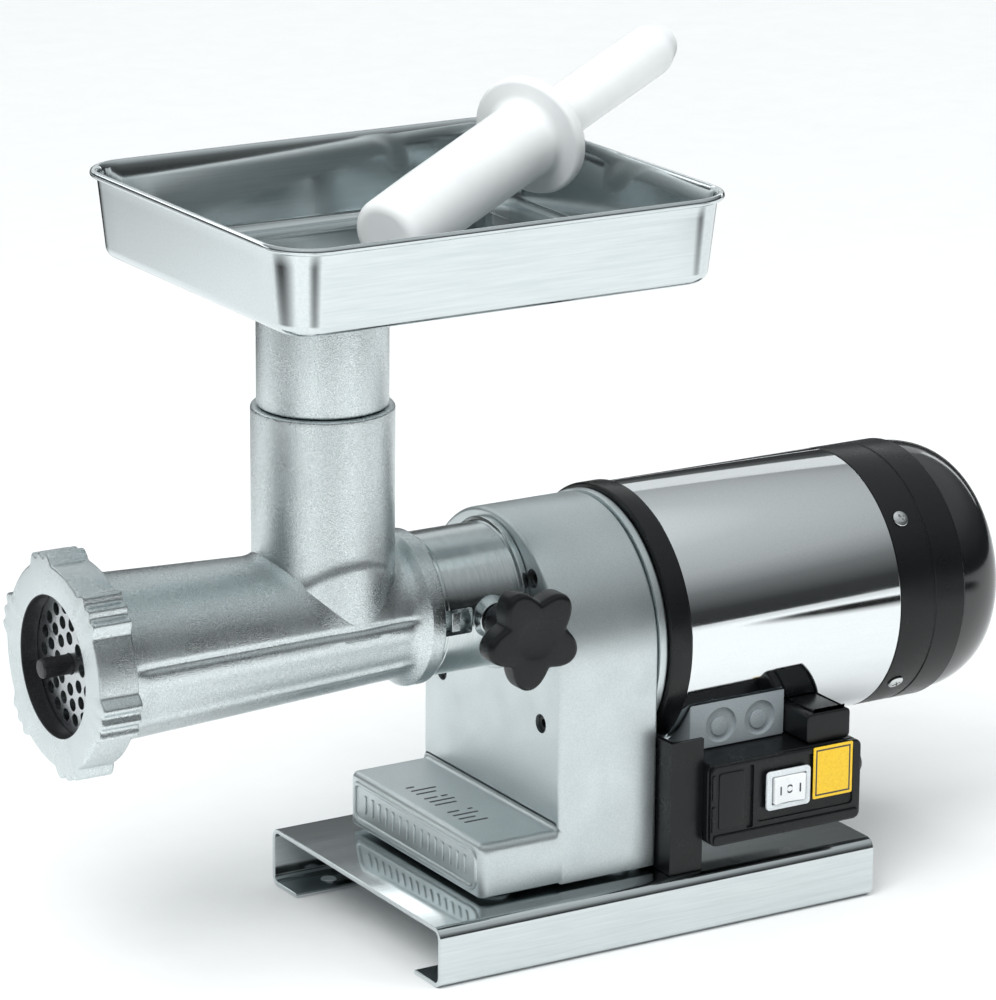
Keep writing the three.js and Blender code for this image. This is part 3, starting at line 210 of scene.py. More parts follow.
def merged(name, meshes):
    # several closed surfaces kept in one mesh
    work = bmesh.new()
    for mesh in meshes:
        work.from_mesh(mesh)
        bpy.data.meshes.remove(mesh)
    made = bpy.data.meshes.new(name)
    work.to_mesh(made)
    work.free()
    return made


def carved(mesh, cutters, mode="DIFFERENCE", useSelf=False):
    # cut the cutters' solid out of the mesh, and keep the result as plain geometry
    # useSelf is for cutters that cross each other
    target = bpy.data.objects.new("carving", mesh)
    tool = bpy.data.objects.new("cutter", merged("cutter", cutters))
    for obj in (target, tool):
        work = bmesh.new()
        work.from_mesh(obj.data)
        bmesh.ops.remove_doubles(work, verts=work.verts, dist=2e-7)
        bmesh.ops.recalc_face_normals(work, faces=work.faces)
        work.to_mesh(obj.data)
        work.free()
        scene.collection.objects.link(obj)
    change = target.modifiers.new("cut", "BOOLEAN")
    change.object = tool
    change.operation = mode
    change.solver = "EXACT"
    change.use_self = useSelf
    bpy.context.view_layer.update()
    made = bpy.data.meshes.new_from_object(target.evaluated_get(bpy.context.evaluated_depsgraph_get()))
    made.name = mesh.name
    made.materials.clear()
    for obj in (target, tool):
        bpy.data.objects.remove(obj)
    return made


def rod(start, end, radius, axis=(1, 0, 0), segments=40):
    # a plain cylinder from one point along an axis, for cutting
    return turned("rod", [[0, radius], [end, radius]], start, axis, segments)


def arc(centreU, centreV, radius, fromAngle, toAngle, steps=8):
    t = np.linspace(fromAngle, toAngle, steps + 1)
    return np.stack([centreU + radius * np.cos(t), centreV + radius * np.sin(t)], 1)


def blend(distance, reach):
    # how far two joining surfaces swell where they meet: a quarter of the reach at the seam, none past it
    return reach / 4 * np.clip(1 - np.abs(distance) / reach, 0, 1) ** 2


# ---- base ----

base = {"sheet": 2.5, "lip": 26, "bend": 6, "holeRadius": 4.5, "holeInset": 26, "edge": 0.4}


def makeBase():
    x0, x1, y0, y1, z0, z1 = span("base_channel")
    s, r, lip = base["sheet"], base["bend"], base["lip"]
    outline = rounded([
        (y0 + lip, z0, 1.1), (y0, z0, r), (y0, z1, r), (y1, z1, r), (y1, z0, r), (y1 - lip, z0, 1.1),
        (y1 - lip, z0 + s, 1.1), (y1 - s, z0 + s, r - s), (y1 - s, z1 - s, r - s),
        (y0 + s, z1 - s, r - s), (y0 + s, z0 + s, r - s), (y0 + lip, z0 + s, 1.1)], 9, closed=True)
    mesh = prism("base", outline, x0, x1, base["edge"])
    holes = [rod((x, side * (y1 - lip / 2 - 1), z0 - 1), s + 2, base["holeRadius"], (0, 0, 1))
             for x in (x0 + base["holeInset"], x1 - base["holeInset"]) for side in (-1, 1)]
    return finished("base", carved(mesh, holes), "root", ["base_channel"], "stainless_sheet", 30)


makeBase()
print("stage: base")


# ---- gearbox casting ----

casting = {
    "depth": 59, "edge": 2.2, "bottom": 34.5, "footTop": 63.5, "footRound": 5, "webFillet": 2.4,
    "motorZ": 148, "headZ": 172.5, "padRadius": 8.8, "boltInset": 16,
    "screws": ((49.3, 115.6), (39.9, 189.8)), "screwRadius": 5, "screwDepth": 7,
    "borderWidth": 1.5, "borderHeight": 1.1, "borderInset": 4.2, "ribs": 15, "ribWidth": 2.6,
}


def makeCasting():
    c = casting
    x0, x1, y0, y1, _, _ = span("gearbox_housing")
    baseTop = span("base_channel")[5] + 0.3
    front = x1 - c["depth"]
    foot = x0 + 1.5
    # tower: straight sides up to the motor axis, then a half circle over it
    sides = [[y1, c["bottom"]]] + arc(0, c["motorZ"], y1, 0, pi, 72).tolist() + [[y0, c["bottom"]]]
    heights = np.linspace(c["bottom"], c["motorZ"], 24)[1:-1]
    outline = np.array(sides[:1] + [[y1, h] for h in heights] + sides[1:-1]
                       + [[y0, h] for h in heights[::-1]] + sides[-1:])
    tower = prism("tower", outline, front, x1, c["edge"], steps=6)
    tower = carved(tower, [rod((front - 1, side * y, z), c["screwDepth"] + 1, c["screwRadius"])
                           for y, z in c["screws"] for side in (-1, 1)])
    # foot: its side profile carried across, drawn in near each end so that those edges are round
    r = c["footRound"]
    rings = []
    quarter = np.linspace(0, pi / 2, 9)
    ends = [(y0 + r * (1 - math.sin(q)), r * (1 - math.cos(q))) for q in quarter[::-1]]
    ends += [(y1 - r * (1 - math.sin(q)), r * (1 - math.cos(q))) for q in quarter]
    for y, shrink in ends:
        f = c["webFillet"]
        low = 0.35 * shrink
        profile = rounded([
            (foot + shrink, c["bottom"] + low, 1.2), (foot + shrink, c["footTop"] - shrink, 3.2),
            (front, c["footTop"] - shrink, f), (front, c["footTop"] + f + 1 - shrink),
            (front + c["edge"], c["footTop"] + f + 1 - shrink),
            (front + c["edge"], c["bottom"] + low)], 6, closed=True)
        rings.append(np.stack([profile[:, 0], np.full(len(profile), y), profile[:, 1]], 1))
    footMesh = gridMesh("foot", rings)
    padProfile = rounded([[baseTop, 0], [baseTop, c["padRadius"], 0.5], [c["bottom"] + 1, c["padRadius"]],
                          [c["bottom"] + 1, 0]])
    pads = [turned("pad", padProfile, (x, y, 0), (0, 0, 1), 40)
            for x in (foot + c["boltInset"], x1 - c["boltInset"])
            for y in (y0 + c["boltInset"], y1 - c["boltInset"])]
    # raised border: a half-round bead along a rounded rectangle on the foot's front face
    b, h, w = c["borderInset"], c["borderHeight"], c["borderWidth"]
    path = rounded([(y0 + b + 2, c["bottom"] + b, 5), (y1 - b - 2, c["bottom"] + b, 5),
                    (y1 - b - 2, c["footTop"] - b - 0.5, 5), (y0 + b + 2, c["footTop"] - b - 0.5, 5)], 8,
                   closed=True)
    bead = []
    for t in np.linspace(0, pi, 9):
        line = inset(path, w * math.cos(t))
        bead.append(np.stack([np.full(len(line), foot - h * math.sin(t)), line[:, 0], line[:, 1]], 1))
    for offset in (-w, w):
        line = inset(path, offset)
        bead.append(np.stack([np.full(len(line), foot + 1.0), line[:, 0], line[:, 1]], 1))
    border = gridMesh("border", bead, joinRows=True)
    ribs = []
    for k in range(c["ribs"]):
        y = y0 + 17 + k * (y1 - y0 - 34) / (c["ribs"] - 1)
        half = c["ribWidth"] / 2
        ribs.append(slab("rib", (foot - 0.75, foot + 1, y - half, y + half, c["bottom"] + 9.2,
                                 c["footTop"] - 9.4),
                         1.2, 0.5, "yz", 4))
    return finished("gearboxCasting", merged("gearboxCasting", [tower, footMesh, border, *pads, *ribs]),
                    "root", ["gearbox_housing"], "cast_aluminium", 32)


makeCasting()


def makeRatingLines():
    # plain printed bars on top of the foot, with no lettering
    x0, _, y0, _, _, _ = span("gearbox_housing")
    z = casting["footTop"]
    bars = []
    # each bar from one distance to another behind the foot's front, at a distance along it
    for u0, u1, v in ((12, 26, 0), (12, 22, 4.2), (12, 27, 8.4), (12, 19, 12.6), (24, 27, 12.6),
                      (12, 25, 22), (12, 27, 26), (12, 20, 30), (22, 26, 30), (12, 24, 36),
                      (12, 27, 40), (12, 17, 44)):
        y = y0 + 34 + 1.35 * v
        bars.append(slab("bar", (x0 + u0, x0 + u1, y, y + 1.7, z - 0.4, z + 0.06), 0.6, 0.03, "xy", 3))
    return finished("ratingBars", merged("ratingBars", bars), "root", [], "", 40)


ratingBars = makeRatingLines()


cover = {"bore": 9, "bosses": ((0, casting["headZ"], 14), (0, casting["motorZ"], 14), (32.3, 151.6, 10)),
         "bossWall": 3.2}


def makeCover():
    x0, x1, _, y1, _, _ = span("gearbox_cover")
    wall = cover["bossWall"]
    front = span("gearbox_housing")[1] + 0.3
    z = casting["motorZ"]
    disc = turned("disc", rounded([[front, 0], [front, y1, 0.5], [x1, y1, 1.6], [x1, cover["bore"]],
                                  [front + 1, cover["bore"]], [front + 1, 0]], 5),
                  (0, 0, z), (1, 0, 0), 160)
    bosses = []
    for y, height, radius in cover["bosses"]:
        profile = rounded([[x0, radius - wall], [x0, radius, 0.6], [front + 2, radius],
                           [front + 2, radius - wall]])
        bosses.append(turned("boss", profile, (0, y, height), (1, 0, 0), 48, ring=True))
    return finished("gearboxCover", merged("gearboxCover", [disc, *bosses]), "root", ["gearbox_cover"],
                    "cast_aluminium", 35)


makeCover()
print("stage: casting")


# ---- motor ----

motor = {"z": casting["motorZ"], "segments": 192, "screwAngles": (-140, -40, 40, 140), "screwInset": 9,
         "skirt": 42, "stepAt": 21, "stepDrop": 0.5, "endRadius": 50,
         "taper": 31, "bevel": 1.6, "wall": 2.5, "slots": 8, "slotWidth": 5, "slotInner": 14}


def makeMotor():
    m = motor
    centre, axis = (0, 0, m["z"]), (1, 0, 0)
    x0, x1, _, y1, _, _ = span("motor_front_ring")
    shell = span("motor_shell")
    r = y1
    ring = turned("motorFrontRing", rounded([
        [x0, 12], [x0, r, 1.4], [x1 - 4.8, r, 0.8], [x1 - 4.8, shell[3] - 1.8], [x1, shell[3] - 1.8, 0.4],
        [x1, r - 9], [x0 + 5, r - 9], [x0 + 5, 12]], 5), centre, axis, m["segments"], ring=True)
    finished("motorFrontRing", ring, "root", ["motor_front_ring"], "black_moulding", 35)
    a, b, out = shell[0], shell[1], shell[3]
    tube = turned("motorShell", rounded([[a, out - 1.5], [a, out, 0.5], [b, out, 0.5], [b, out - 1.5]], 4,
                                        closed=True),
                  centre, axis, m["segments"], ring=True)
    finished("motorShell", tube, "root", ["motor_shell"], "polished_shell", 30)
    c0, c1, _, cr, _, _ = span("rear_cap")
    # cap: a straight skirt with a fine step, a narrow bevel, then an elliptical shoulder down to the flat end
    t = np.linspace(0, pi / 2, 22)
    top = cr - m["bevel"]
    shoulder = [[c0 + m["skirt"] + m["taper"] * math.sin(q),
                 top - (top - m["endRadius"]) * (1 - math.cos(q))] for q in t]
    inner = [[u - m["wall"], v - m["wall"]] for u, v in shoulder[::-1]]
    start = [[c0, cr - m["wall"]], [c0, cr, 0.7], [c0 + m["stepAt"], cr],
             [c0 + m["stepAt"] + 0.5, cr - m["stepDrop"]],
             [c0 + m["stepAt"] + 1.4, cr - m["stepDrop"]], [c0 + m["stepAt"] + 1.9, cr],
             [c0 + m["skirt"] - 1.6, cr, 0.4]]
    profile = rounded(start + shoulder[:-1] + [[shoulder[-1][0], shoulder[-1][1], 1.5], [c1, 0]], 4)
    inside = np.array([[c1 - m["wall"], 0]] + inner)
    cap = turned("rearCap", np.concatenate([profile, inside]), centre, axis, m["segments"], ring=True)
    cutters = []
    for k in range(m["slots"]):
        angle = 2 * pi * k / m["slots"]
        half = m["slotWidth"] / 2
        slot = slab("slot", (c1 - 6, c1 + 1, -half, half, m["slotInner"], m["endRadius"] - 12), half - 0.1,
                    0.01, "yz", 6)
        slot.transform(Matrix.Translation((0, 0, m["z"] * 0.001)) @ Matrix.Rotation(angle, 4, "X"))
        cutters.append(slot)
    for degrees in m["screwAngles"]:
        q = math.radians(degrees)
        cutters.append(rod((c0 + m["screwInset"], 0, m["z"]), cr + 3, 2.9, (0, -math.cos(q), -math.sin(q)),
                           24))
    return finished("rearCap", carved(cap, cutters), "root", ["rear_cap"], "black_moulding", 35)


capObject = makeMotor()
print("stage: motor")


# ---- head: socket, barrel and cutting end ----

head = {
    "z": casting["headZ"], "mouth": -62.5, "barrelLength": 178.5, "flange": 14, "clampX": -35,
    "clampBore": 5.6, "socketEdge": 1.3, "slotLength": 16.5, "slotHeight": 13.5,
    "flangeRadius": 40, "rearRadius": 35, "frontRadius": 42, "threadRadius": 46.2,
    "throatX": -111.1, "throatRadius": 36, "throatBore": 29.7, "throatTop": 285,
    "blend": 6, "creaseDeep": 1.3, "creaseAt": 7, "ridgeAt": -36,
}


def socketMeshes():
    h = head
    x0, x1, _, _, _, _ = span("head_socket")
    z = h["z"]
    tube = turned("socket", rounded([
        [x0, 31], [x0, 37, h["socketEdge"]], [x0 + 2.4, 37], [x0 + 2.9, 36.6], [x0 + 3.4, 37],
        [x1 - 4, 37, 1],
        [x1 - 3.4, 39.4, 0.6], [x1, 39.4, 0.4], [x1, 31]], 5), (0, 0, z), (1, 0, 0), 160, ring=True)
    key = 0.5 * h["slotHeight"]
    slot = slab("slot", (h["mouth"] - 2, h["mouth"] + h["slotLength"], -40, -25, z - key, z + key), 1.2,
                0.01, "xz", 4)
    def pocket():
        # room for the clamp pad when it is drawn back
        return rod((h["clampX"], -37.2, z), 10.2, 6.9, (0, 1, 0))

    tube = carved(tube, [slot, pocket()])
    bore = h["clampBore"]
    boss = turned("boss", rounded([[-32, bore], [-32, 12], [-37, 10.5, 2], [-41, 9.2], [-42, 9, 0.8],
                                   [-42, bore]], 4),
                  (h["clampX"], 0, z), (0, 1, 0), 64, ring=True)
    return merged("headSocket", [tube, carved(boss, [pocket()])])


finished("headSocket", socketMeshes(), "root", ["head_socket"], "turned_aluminium", 32)


def wrapped(angle, centre, width):
    # a smooth bump of height 1 about an angle, in degrees
    away = (np.degrees(angle) - centre + 180) % 360 - 180
    return np.exp(-(away / width) ** 2)


def makeGrinderBody():
    h = head
    x0, x1, _, _, _, _ = span("grinder_body")
    mouth, z, tx = h["mouth"], h["z"], h["throatX"]
    collar = mouth - h["barrelLength"]
    outer = rounded([
        [x0, 41.3], [x0, h["threadRadius"], 0.6], [collar, h["threadRadius"], 0.6],
        [collar, h["frontRadius"] + 1.2, 1.5],
        [collar + 14, h["frontRadius"] - 0.4], [mouth - 26, h["rearRadius"] + 0.6],
        [mouth - 14, h["rearRadius"] + 0.2, 9],
        [mouth - 8, h["flangeRadius"], 1.2], [mouth, h["flangeRadius"], 1.2], [mouth, 30.5], [x1, 30.5, 1],
        [x1, 20, 0.6], [mouth + 1, 20], [mouth + 1, 14.6], [mouth - 14, 14.6], [mouth - 14, 30.8],
        [x0 + 18, 33.5], [x0 + 13, 37.7], [x0 + 8, 37.7], [x0 + 7.6, 41.3]], 6)
    # more stations along the taper, so that the creases and the seam have points to move
    dense = [outer[0]]
    for a, b in zip(outer[:-1], outer[1:]):
        parts = max(1, int(np.linalg.norm(b - a) // 1.6))
        dense += [a + (b - a) * (k + 1) / parts for k in range(parts)]
    profile = np.array(dense)

    def lift(along, radius, angle):
        # angle is measured from +Y toward +Z, so the near side is at 180 degrees
        degrees = 180 - np.degrees(angle)
        shown = (radius > 33) & (along < mouth - 9) & (along > collar + 0.8)
        ends = np.clip((along - collar - 2) / 8, 0, 1) * np.clip((mouth - 12 - along) / 8, 0, 1)
        rad = np.radians(degrees)
        crease = 0
        for mirror in (0, 180):
            flip = 1 if mirror == 0 else -1
            crease = crease - h["creaseDeep"] * wrapped(rad, mirror + flip * h["creaseAt"], 2.4)
            crease = crease + 0.9 * h["creaseDeep"] * wrapped(rad, mirror + flip * (h["creaseAt"] - 10), 8)
            crease = crease + 0.9 * h["creaseDeep"] * wrapped(rad, mirror + flip * h["ridgeAt"], 4)
        y, up = radius * np.cos(angle), radius * np.sin(angle)
        distance = np.hypot(along - tx, y) - h["throatRadius"]
        swell = np.where(up > 0, blend(np.maximum(distance, 0), h["blend"]), 0)
        return np.where(shown, crease * ends + swell, 0)

    barrel = turned("barrel", profile, (0, 0, z), (1, 0, 0), 288, ring=True, lift=lift)
    barrel = carved(barrel, [rod((tx, 0, z + 5), 60, h["throatBore"] + 0.03, (0, 0, 1), 96)])

    top, low = h["throatTop"], z + 6
    walls = rounded([[low, h["throatBore"]], [low, h["throatRadius"]], [top, h["throatRadius"], 1.4],
                     [top, h["throatBore"], 0.8]], 5)
    dense = []
    for a, b in zip(walls[:-1], walls[1:]):
        parts = max(1, int(np.linalg.norm(b - a) // 1.6))
        dense += [a + (b - a) * k / parts for k in range(parts)]
    dense.append(walls[-1])

    def throatLift(along, radius, angle):
        side = radius * np.sin(angle)
        share = (mouth - h["flange"] - tx) / (h["barrelLength"] - h["flange"])
        taper = h["rearRadius"] + (h["frontRadius"] - h["rearRadius"]) * share
        distance = np.hypot(side, along - z) - taper
        return np.where(radius > 33, blend(np.maximum(distance, 0), h["blend"]), 0)

    throat = turned("throat", np.array(dense), (tx, 0, 0), (0, 0, 1), 192, ring=True, lift=throatLift)
    key = slab("key", (mouth + 5, mouth + 10, -36.4, -28.5, z - 5, z + 5), 0.6, 0.4, "xz", 3)
    body = merged("grinderBody", [barrel, throat, key])
    return finished("grinderBody", body, "head", ["grinder_body"], "tinned_casting", 42)


makeGrinderBody()
print("stage: head")

nut = {"phase": -16, "radius": 51.5, "lug": 56.3, "opening": 35.2, "thread": 46.7, "lip": 9}


def makeRingNut():
    n = nut
    x0, x1, _, _, _, _ = span("ring_nut")
    t = np.linspace(0, 2 * pi, 720, endpoint=False)
    # angle is from -Y toward +Z; each lug is a raised plateau with three rounded ridges
    degrees = (np.degrees(t) - n["phase"] + 30) % 60 - 30
    plateau = 1 / (1 + np.exp((np.abs(degrees) - 12.2) / 0.55))
    ridges = 0.5 + 0.5 * np.cos(np.radians(degrees) * 360 / 8.1)
    outer = n["radius"] + (n["lug"] - n["radius"]) * plateau * (0.55 + 0.45 * ridges)
    outer += 0.25 * np.cos(t * 6 + 1)
    ones = np.ones_like(t)
    rings = []
    edge = 1.5
    quarter = np.linspace(0, pi / 2, 6)
    rings.append((x0 + n["lip"], n["opening"] * ones))
    rings += [(x0 + 0.7 * (1 - math.sin(q)), (n["opening"] + 0.7 * (1 - math.cos(q))) * ones)
              for q in quarter]
    rings += [(x0 + edge * (1 - math.cos(q)), outer - edge * (1 - math.sin(q))) for q in quarter]
    rings += [(x1 - edge * (1 - math.cos(q)), outer - edge * (1 - math.sin(q))) for q in quarter[::-1]]
    rings += [(x1, n["thread"] * ones), (x0 + n["lip"], n["thread"] * ones)]
    grid = [np.stack([np.full_like(t, x), -r * np.cos(t), head["z"] + r * np.sin(t)], 1) for x, r in rings]
    return finished("ringNut", gridMesh("ringNut", grid, joinRows=True), "ring", ["ring_nut"],
                    "tinned_casting", 42)


ringObject = makeRingNut()

plate = {"rings": ((13, 8), (20.5, 13), (28, 18)), "hole": 3.3, "centre": 5.5}


def makePlate():
    x0, x1, _, y1, _, _ = span("grinding_plate")
    z = head["z"]
    disc = turned("plate", rounded([[x0, 0], [x0, y1, 0.4], [x1, y1, 0.4], [x1, 0]], 3), (0, 0, z),
                  (1, 0, 0), 160)
    cutters = [rod((x0 - 1, 0, z), x1 - x0 + 2, plate["centre"], segments=48)]
    for radius, count in plate["rings"]:
        for k in range(count):
            angle = 2 * pi * (k + 0.5 * (count % 2)) / count
            cutters.append(rod((x0 - 1, radius * math.cos(angle), z + radius * math.sin(angle)), x1 - x0 + 2,
                               plate["hole"], segments=28))
    cutters.append(slab("notch", (x0 - 1, x1 + 1, -2.5, 2.5, z + y1 - 4.5, z + y1 + 1), 0.3, 0.01, "yz", 2))
    return finished("grindingPlate", carved(disc, cutters), "plate", ["grinding_plate"], "tool_steel", 30)


makePlate()


def makePin():
    x0, x1, _, _, _, _ = span("auger_pin")
    z = head["z"]
    rear = span("grinding_plate")[1]
    nose = turned("nose", rounded([[x0, 0], [x0, 5, 1.1], [rear + 0.5, 5], [rear + 0.5, 0]], 5), (0, 0, z),
                  (1, 0, 0), 64)
    square = slab("square", (rear + 0.3, rear + 8, -6.5, 6.5, z - 6.5, z + 6.5), 0.6, 0.3, "yz", 3)
    root = turned("root", [[rear + 7, 0], [rear + 7, 5], [x1, 5], [x1, 0]], (0, 0, z), (1, 0, 0), 48)
    return finished("augerPin", merged("augerPin", [nose, square, root]), "auger", ["auger_pin"],
                    "blackened_steel", 35)


makePin()


def makeNeck():
    _, _, _, y1, z0, z1 = span("feed_neck")
    top = head["throatTop"] + 0.3
    profile = rounded([[z0, 26], [z0, 29.2, 0.8], [top, 29.2], [top, y1, 1.2], [z1, y1, 0.8],
                       [z1, 26, 0.4]], 4)
    return finished("feedNeck", turned("feedNeck", profile, (head["throatX"], 0, 0), (0, 0, 1), 160,
                                       ring=True),
                    "neck", ["feed_neck"], "tinned_casting", 40)


makeNeck()
print("stage: cutting end and neck")


# ---- tray and pusher ----

tray = {"corner": 26, "draft": 4, "bend": 6, "sheet": 1.2, "rim": 3.4, "rimRadius": 1.9,
        "stepInset": 30, "stepRise": 0.9, "hole": 24.2, "collar": 1.3, "cornerSteps": 18, "sideSteps": 14}


def trayLoop(x0, x1, y0, y1, drawIn, corner):
    # a rounded rectangle with evenly spread points on each side and corner
    n, s = tray["cornerSteps"], tray["sideSteps"]
    r = max(corner - drawIn, 1.0)
    hx, hy = (x1 - x0) / 2 - drawIn - r, (y1 - y0) / 2 - drawIn - r
    cx, cy = (x0 + x1) / 2, (y0 + y1) / 2
    out = []
    for k, (sx, sy) in enumerate([(1, 1), (-1, 1), (-1, -1), (1, -1)]):
        out += arc(cx + sx * hx, cy + sy * hy, r, k * pi / 2, (k + 1) * pi / 2, n).tolist()
        nx, ny = [(-1, 1), (-1, -1), (1, -1), (1, 1)][k]
        start = np.array(out[-1])
        end = np.array([cx + nx * hx + [0, -r, 0, r][k], cy + ny * hy + [r, 0, -r, 0][k]])
        out += [(start + (end - start) * t / s).tolist() for t in range(1, s)]
    return np.array(out)


def makeTray():
    q = tray
    x0, x1, y0, y1, z0, z1 = span("feed_tray")
    floor = span("feed_neck")[5] + 0.3
    hx, hole = head["throatX"], q["hole"]
    loop = lambda d: trayLoop(x0, x1, y0, y1, d, q["corner"])
    wallTop, rr = q["rim"], q["rimRadius"]
    rings = []

    def at(d, z):
        flat = loop(d)
        rings.append(np.column_stack([flat, np.full(len(flat), z)]))

    def wall(inner):
        # the draughted wall and the bend at its foot, outside or inside
        s = q["sheet"] if inner else 0
        bend = q["bend"] - s
        foot = wallTop + q["draft"]
        pts = [(foot + s + bend * (1 - math.cos(t)), floor + s + bend * (1 - math.sin(t)))
               for t in np.linspace(0, pi / 2, 8)]
        side = [(wallTop + s + (foot - wallTop) * k / 5, z1 - 3.0 - (z1 - 3.0 - floor - s - bend) * k / 5)
                for k in range(5)]
        return side + pts

    # inside, from the step in the floor up the wall to the rim
    inside = wall(True)
    step = q["stepInset"]
    floorIn = floor + q["sheet"]
    edgeIn = [(inside[-1][0] + (step - inside[-1][0]) * k / 4, floorIn) for k in range(1, 5)]
    dip = [(step + 3 * k / 6, floorIn + 0.5 * q["stepRise"] * (1 - math.cos(pi * k / 6)))
           for k in range(1, 7)]
    # rim: the edge rolls outward and down, nearly a full circle
    centre = (rr, z1 - rr)
    roll = [(centre[0] + rr * math.cos(t), centre[1] + rr * math.sin(t))
            for t in np.linspace(0.15 * pi, 1.42 * pi, 18)]
    under = [(wallTop - 0.1, z1 - 2.6)]
    outside = wall(False)
    sequence = outside[::-1] + under + roll[::-1] + inside + edgeIn + dip
    for d, z in sequence:
        at(d, z)
    # floor: carried from the step's loop in to the round hole, then down the collar and back under the floor
    inner = rings[-1][:, :2]
    angle = np.arctan2(inner[:, 1], inner[:, 0] - hx)
    circle = lambda radius: np.column_stack([hx + radius * np.cos(angle), radius * np.sin(angle)])
    topZ = rings[-1][0, 2]
    for k in range(1, 13):
        share = k / 12
        flat = inner * (1 - share) + circle(hole + 2) * share
        rings.append(np.column_stack([flat, np.full(len(flat), topZ)]))
    for t in np.linspace(0, pi / 2, 5)[1:]:
        rings.append(np.column_stack([circle(hole + 2 - 2 * math.sin(t)),
                                      np.full(len(inner), topZ - 2 * (1 - math.cos(t)))]))
    collarOut = hole + q["collar"]
    for radius, z in ((hole, z0 + 0.5), (hole + 0.4, z0), (collarOut, z0), (collarOut, floor - 0.05)):
        rings.append(np.column_stack([circle(radius), np.full(len(inner), z)]))
    last = rings[0][:, :2]
    for share in (0.4, 0.8):
        flat = circle(collarOut) * (1 - share) + last * share
        rings.append(np.column_stack([flat, np.full(len(flat), floor)]))
    return finished("feedTray", gridMesh("feedTray", rings, joinRows=True), "tray", ["feed_tray"],
                    "stainless_sheet", 50)


makeTray()

pusherShape = {"body": 20, "bodyLength": 128, "disc": 31.5, "discThick": 9, "handle": 14, "handleLength": 134,
               "turn": 25, "tip": (-89.5, -23), "tipRound": 6}


def makePusher():
    p = pusherShape
    floor = span("feed_neck")[5] + 0.3
    low = floor + 1.5 + p["body"] + 1
    _, x1, _, _, _, z1 = span("feed_tray")
    run = (x1 - p["tip"][0]) / math.cos(math.radians(p["turn"]))
    tilt = math.atan2(z1 + p["handle"] + 1.5 - low, run)
    turn = math.radians(p["turn"])
    axis = (math.cos(tilt) * math.cos(turn), math.cos(tilt) * math.sin(turn), math.sin(tilt))
    d0 = p["bodyLength"]
    d1 = d0 + p["discThick"]
    end = d1 + p["handleLength"] - p["discThick"]
    profile = rounded([
        [0, 0], [0, p["body"] - 1.2, p["tipRound"]], [40, p["body"] - 0.4], [d0 - 1, p["body"], 4.5],
        [d0 + 0.6, p["disc"] - 1, 2.6], [d0 + 2.5, p["disc"], 2.5], [d1 - 2, p["disc"], 2.6],
        [d1, p["disc"] - 2.5, 1.6],
        [d1 + 1.5, p["handle"] + 0.4, 4], [d1 + 20, p["handle"] - 0.3], [end - 14, p["handle"], 16],
        [end, p["handle"] - 5, 5.5], [end, 0]], 8)
    return finished("pusherPiece", turned("pusherPiece", profile, (*p["tip"], low), axis, 128), "pusher",
                    ["pusher"],
                    "white_polyethylene", 40)


makePusher()
print("stage: tray and pusher")

# ---- clamp knob ----

knob = {"x": head["clampX"], "z": head["z"], "lobes": 5, "radius": 27, "dip": 8.2, "phase": 45, "face": 81,
        "thick": 13, "neck": 10}


def makeKnob():
    k = knob
    t = np.linspace(0, 2 * pi, 360, endpoint=False)
    wave = 0.5 + 0.5 * np.cos(k["lobes"] * (t - math.radians(k["phase"])))
    star = k["radius"] - k["dip"] * (1 - wave ** 0.75)
    # each ring is a distance from the middle plane and a radius for each angle round the star
    face, back = -k["face"], -k["face"] + k["thick"]
    ones = np.ones_like(t)
    rings = [(face + 0.6, 0 * ones), (face + 0.6, 8 * ones), (face + 0.2, 10 * ones), (face, 12 * ones)]
    quarter = np.linspace(0, pi / 2, 7)
    rings += [(face + 3.2 * (1 - math.cos(q)), star - 3.2 * (1 - math.sin(q))) for q in quarter]
    rings += [(back - 2.4 * (1 - math.cos(q)), star - 2.4 * (1 - math.sin(q))) for q in quarter[::-1]]
    end = span("clamp_knob")[3]
    for share in (0.5, 0.8, 1):
        rings.append((back + 3.5 * share, (star - 2.4) * (1 - share) + (k["neck"] + 4 - 1.5 * share) * share))
    rings += [(back + 8, k["neck"] * ones), (end - 0.8, k["neck"] * ones), (end, (k["neck"] - 0.8) * ones),
              (end, 5.3 * ones),
              (end - 8, 5.3 * ones), (end - 8, 0 * ones)]
    grid = [np.stack([k["x"] + r * np.cos(t), np.full_like(t, y), k["z"] + r * np.sin(t)], 1)
            for y, r in rings]
    return finished("clampKnob", gridMesh("clampKnob", grid, capped=False), "knob", ["clamp_knob"],
                    "black_moulding", 45)


makeKnob()
print("stage: knob")

# ---- switch box, terminal strip and gland ----

switch = {"corner": 4, "x": 113, "z": 71, "width": 27, "height": 21, "grooveX": 90.5}


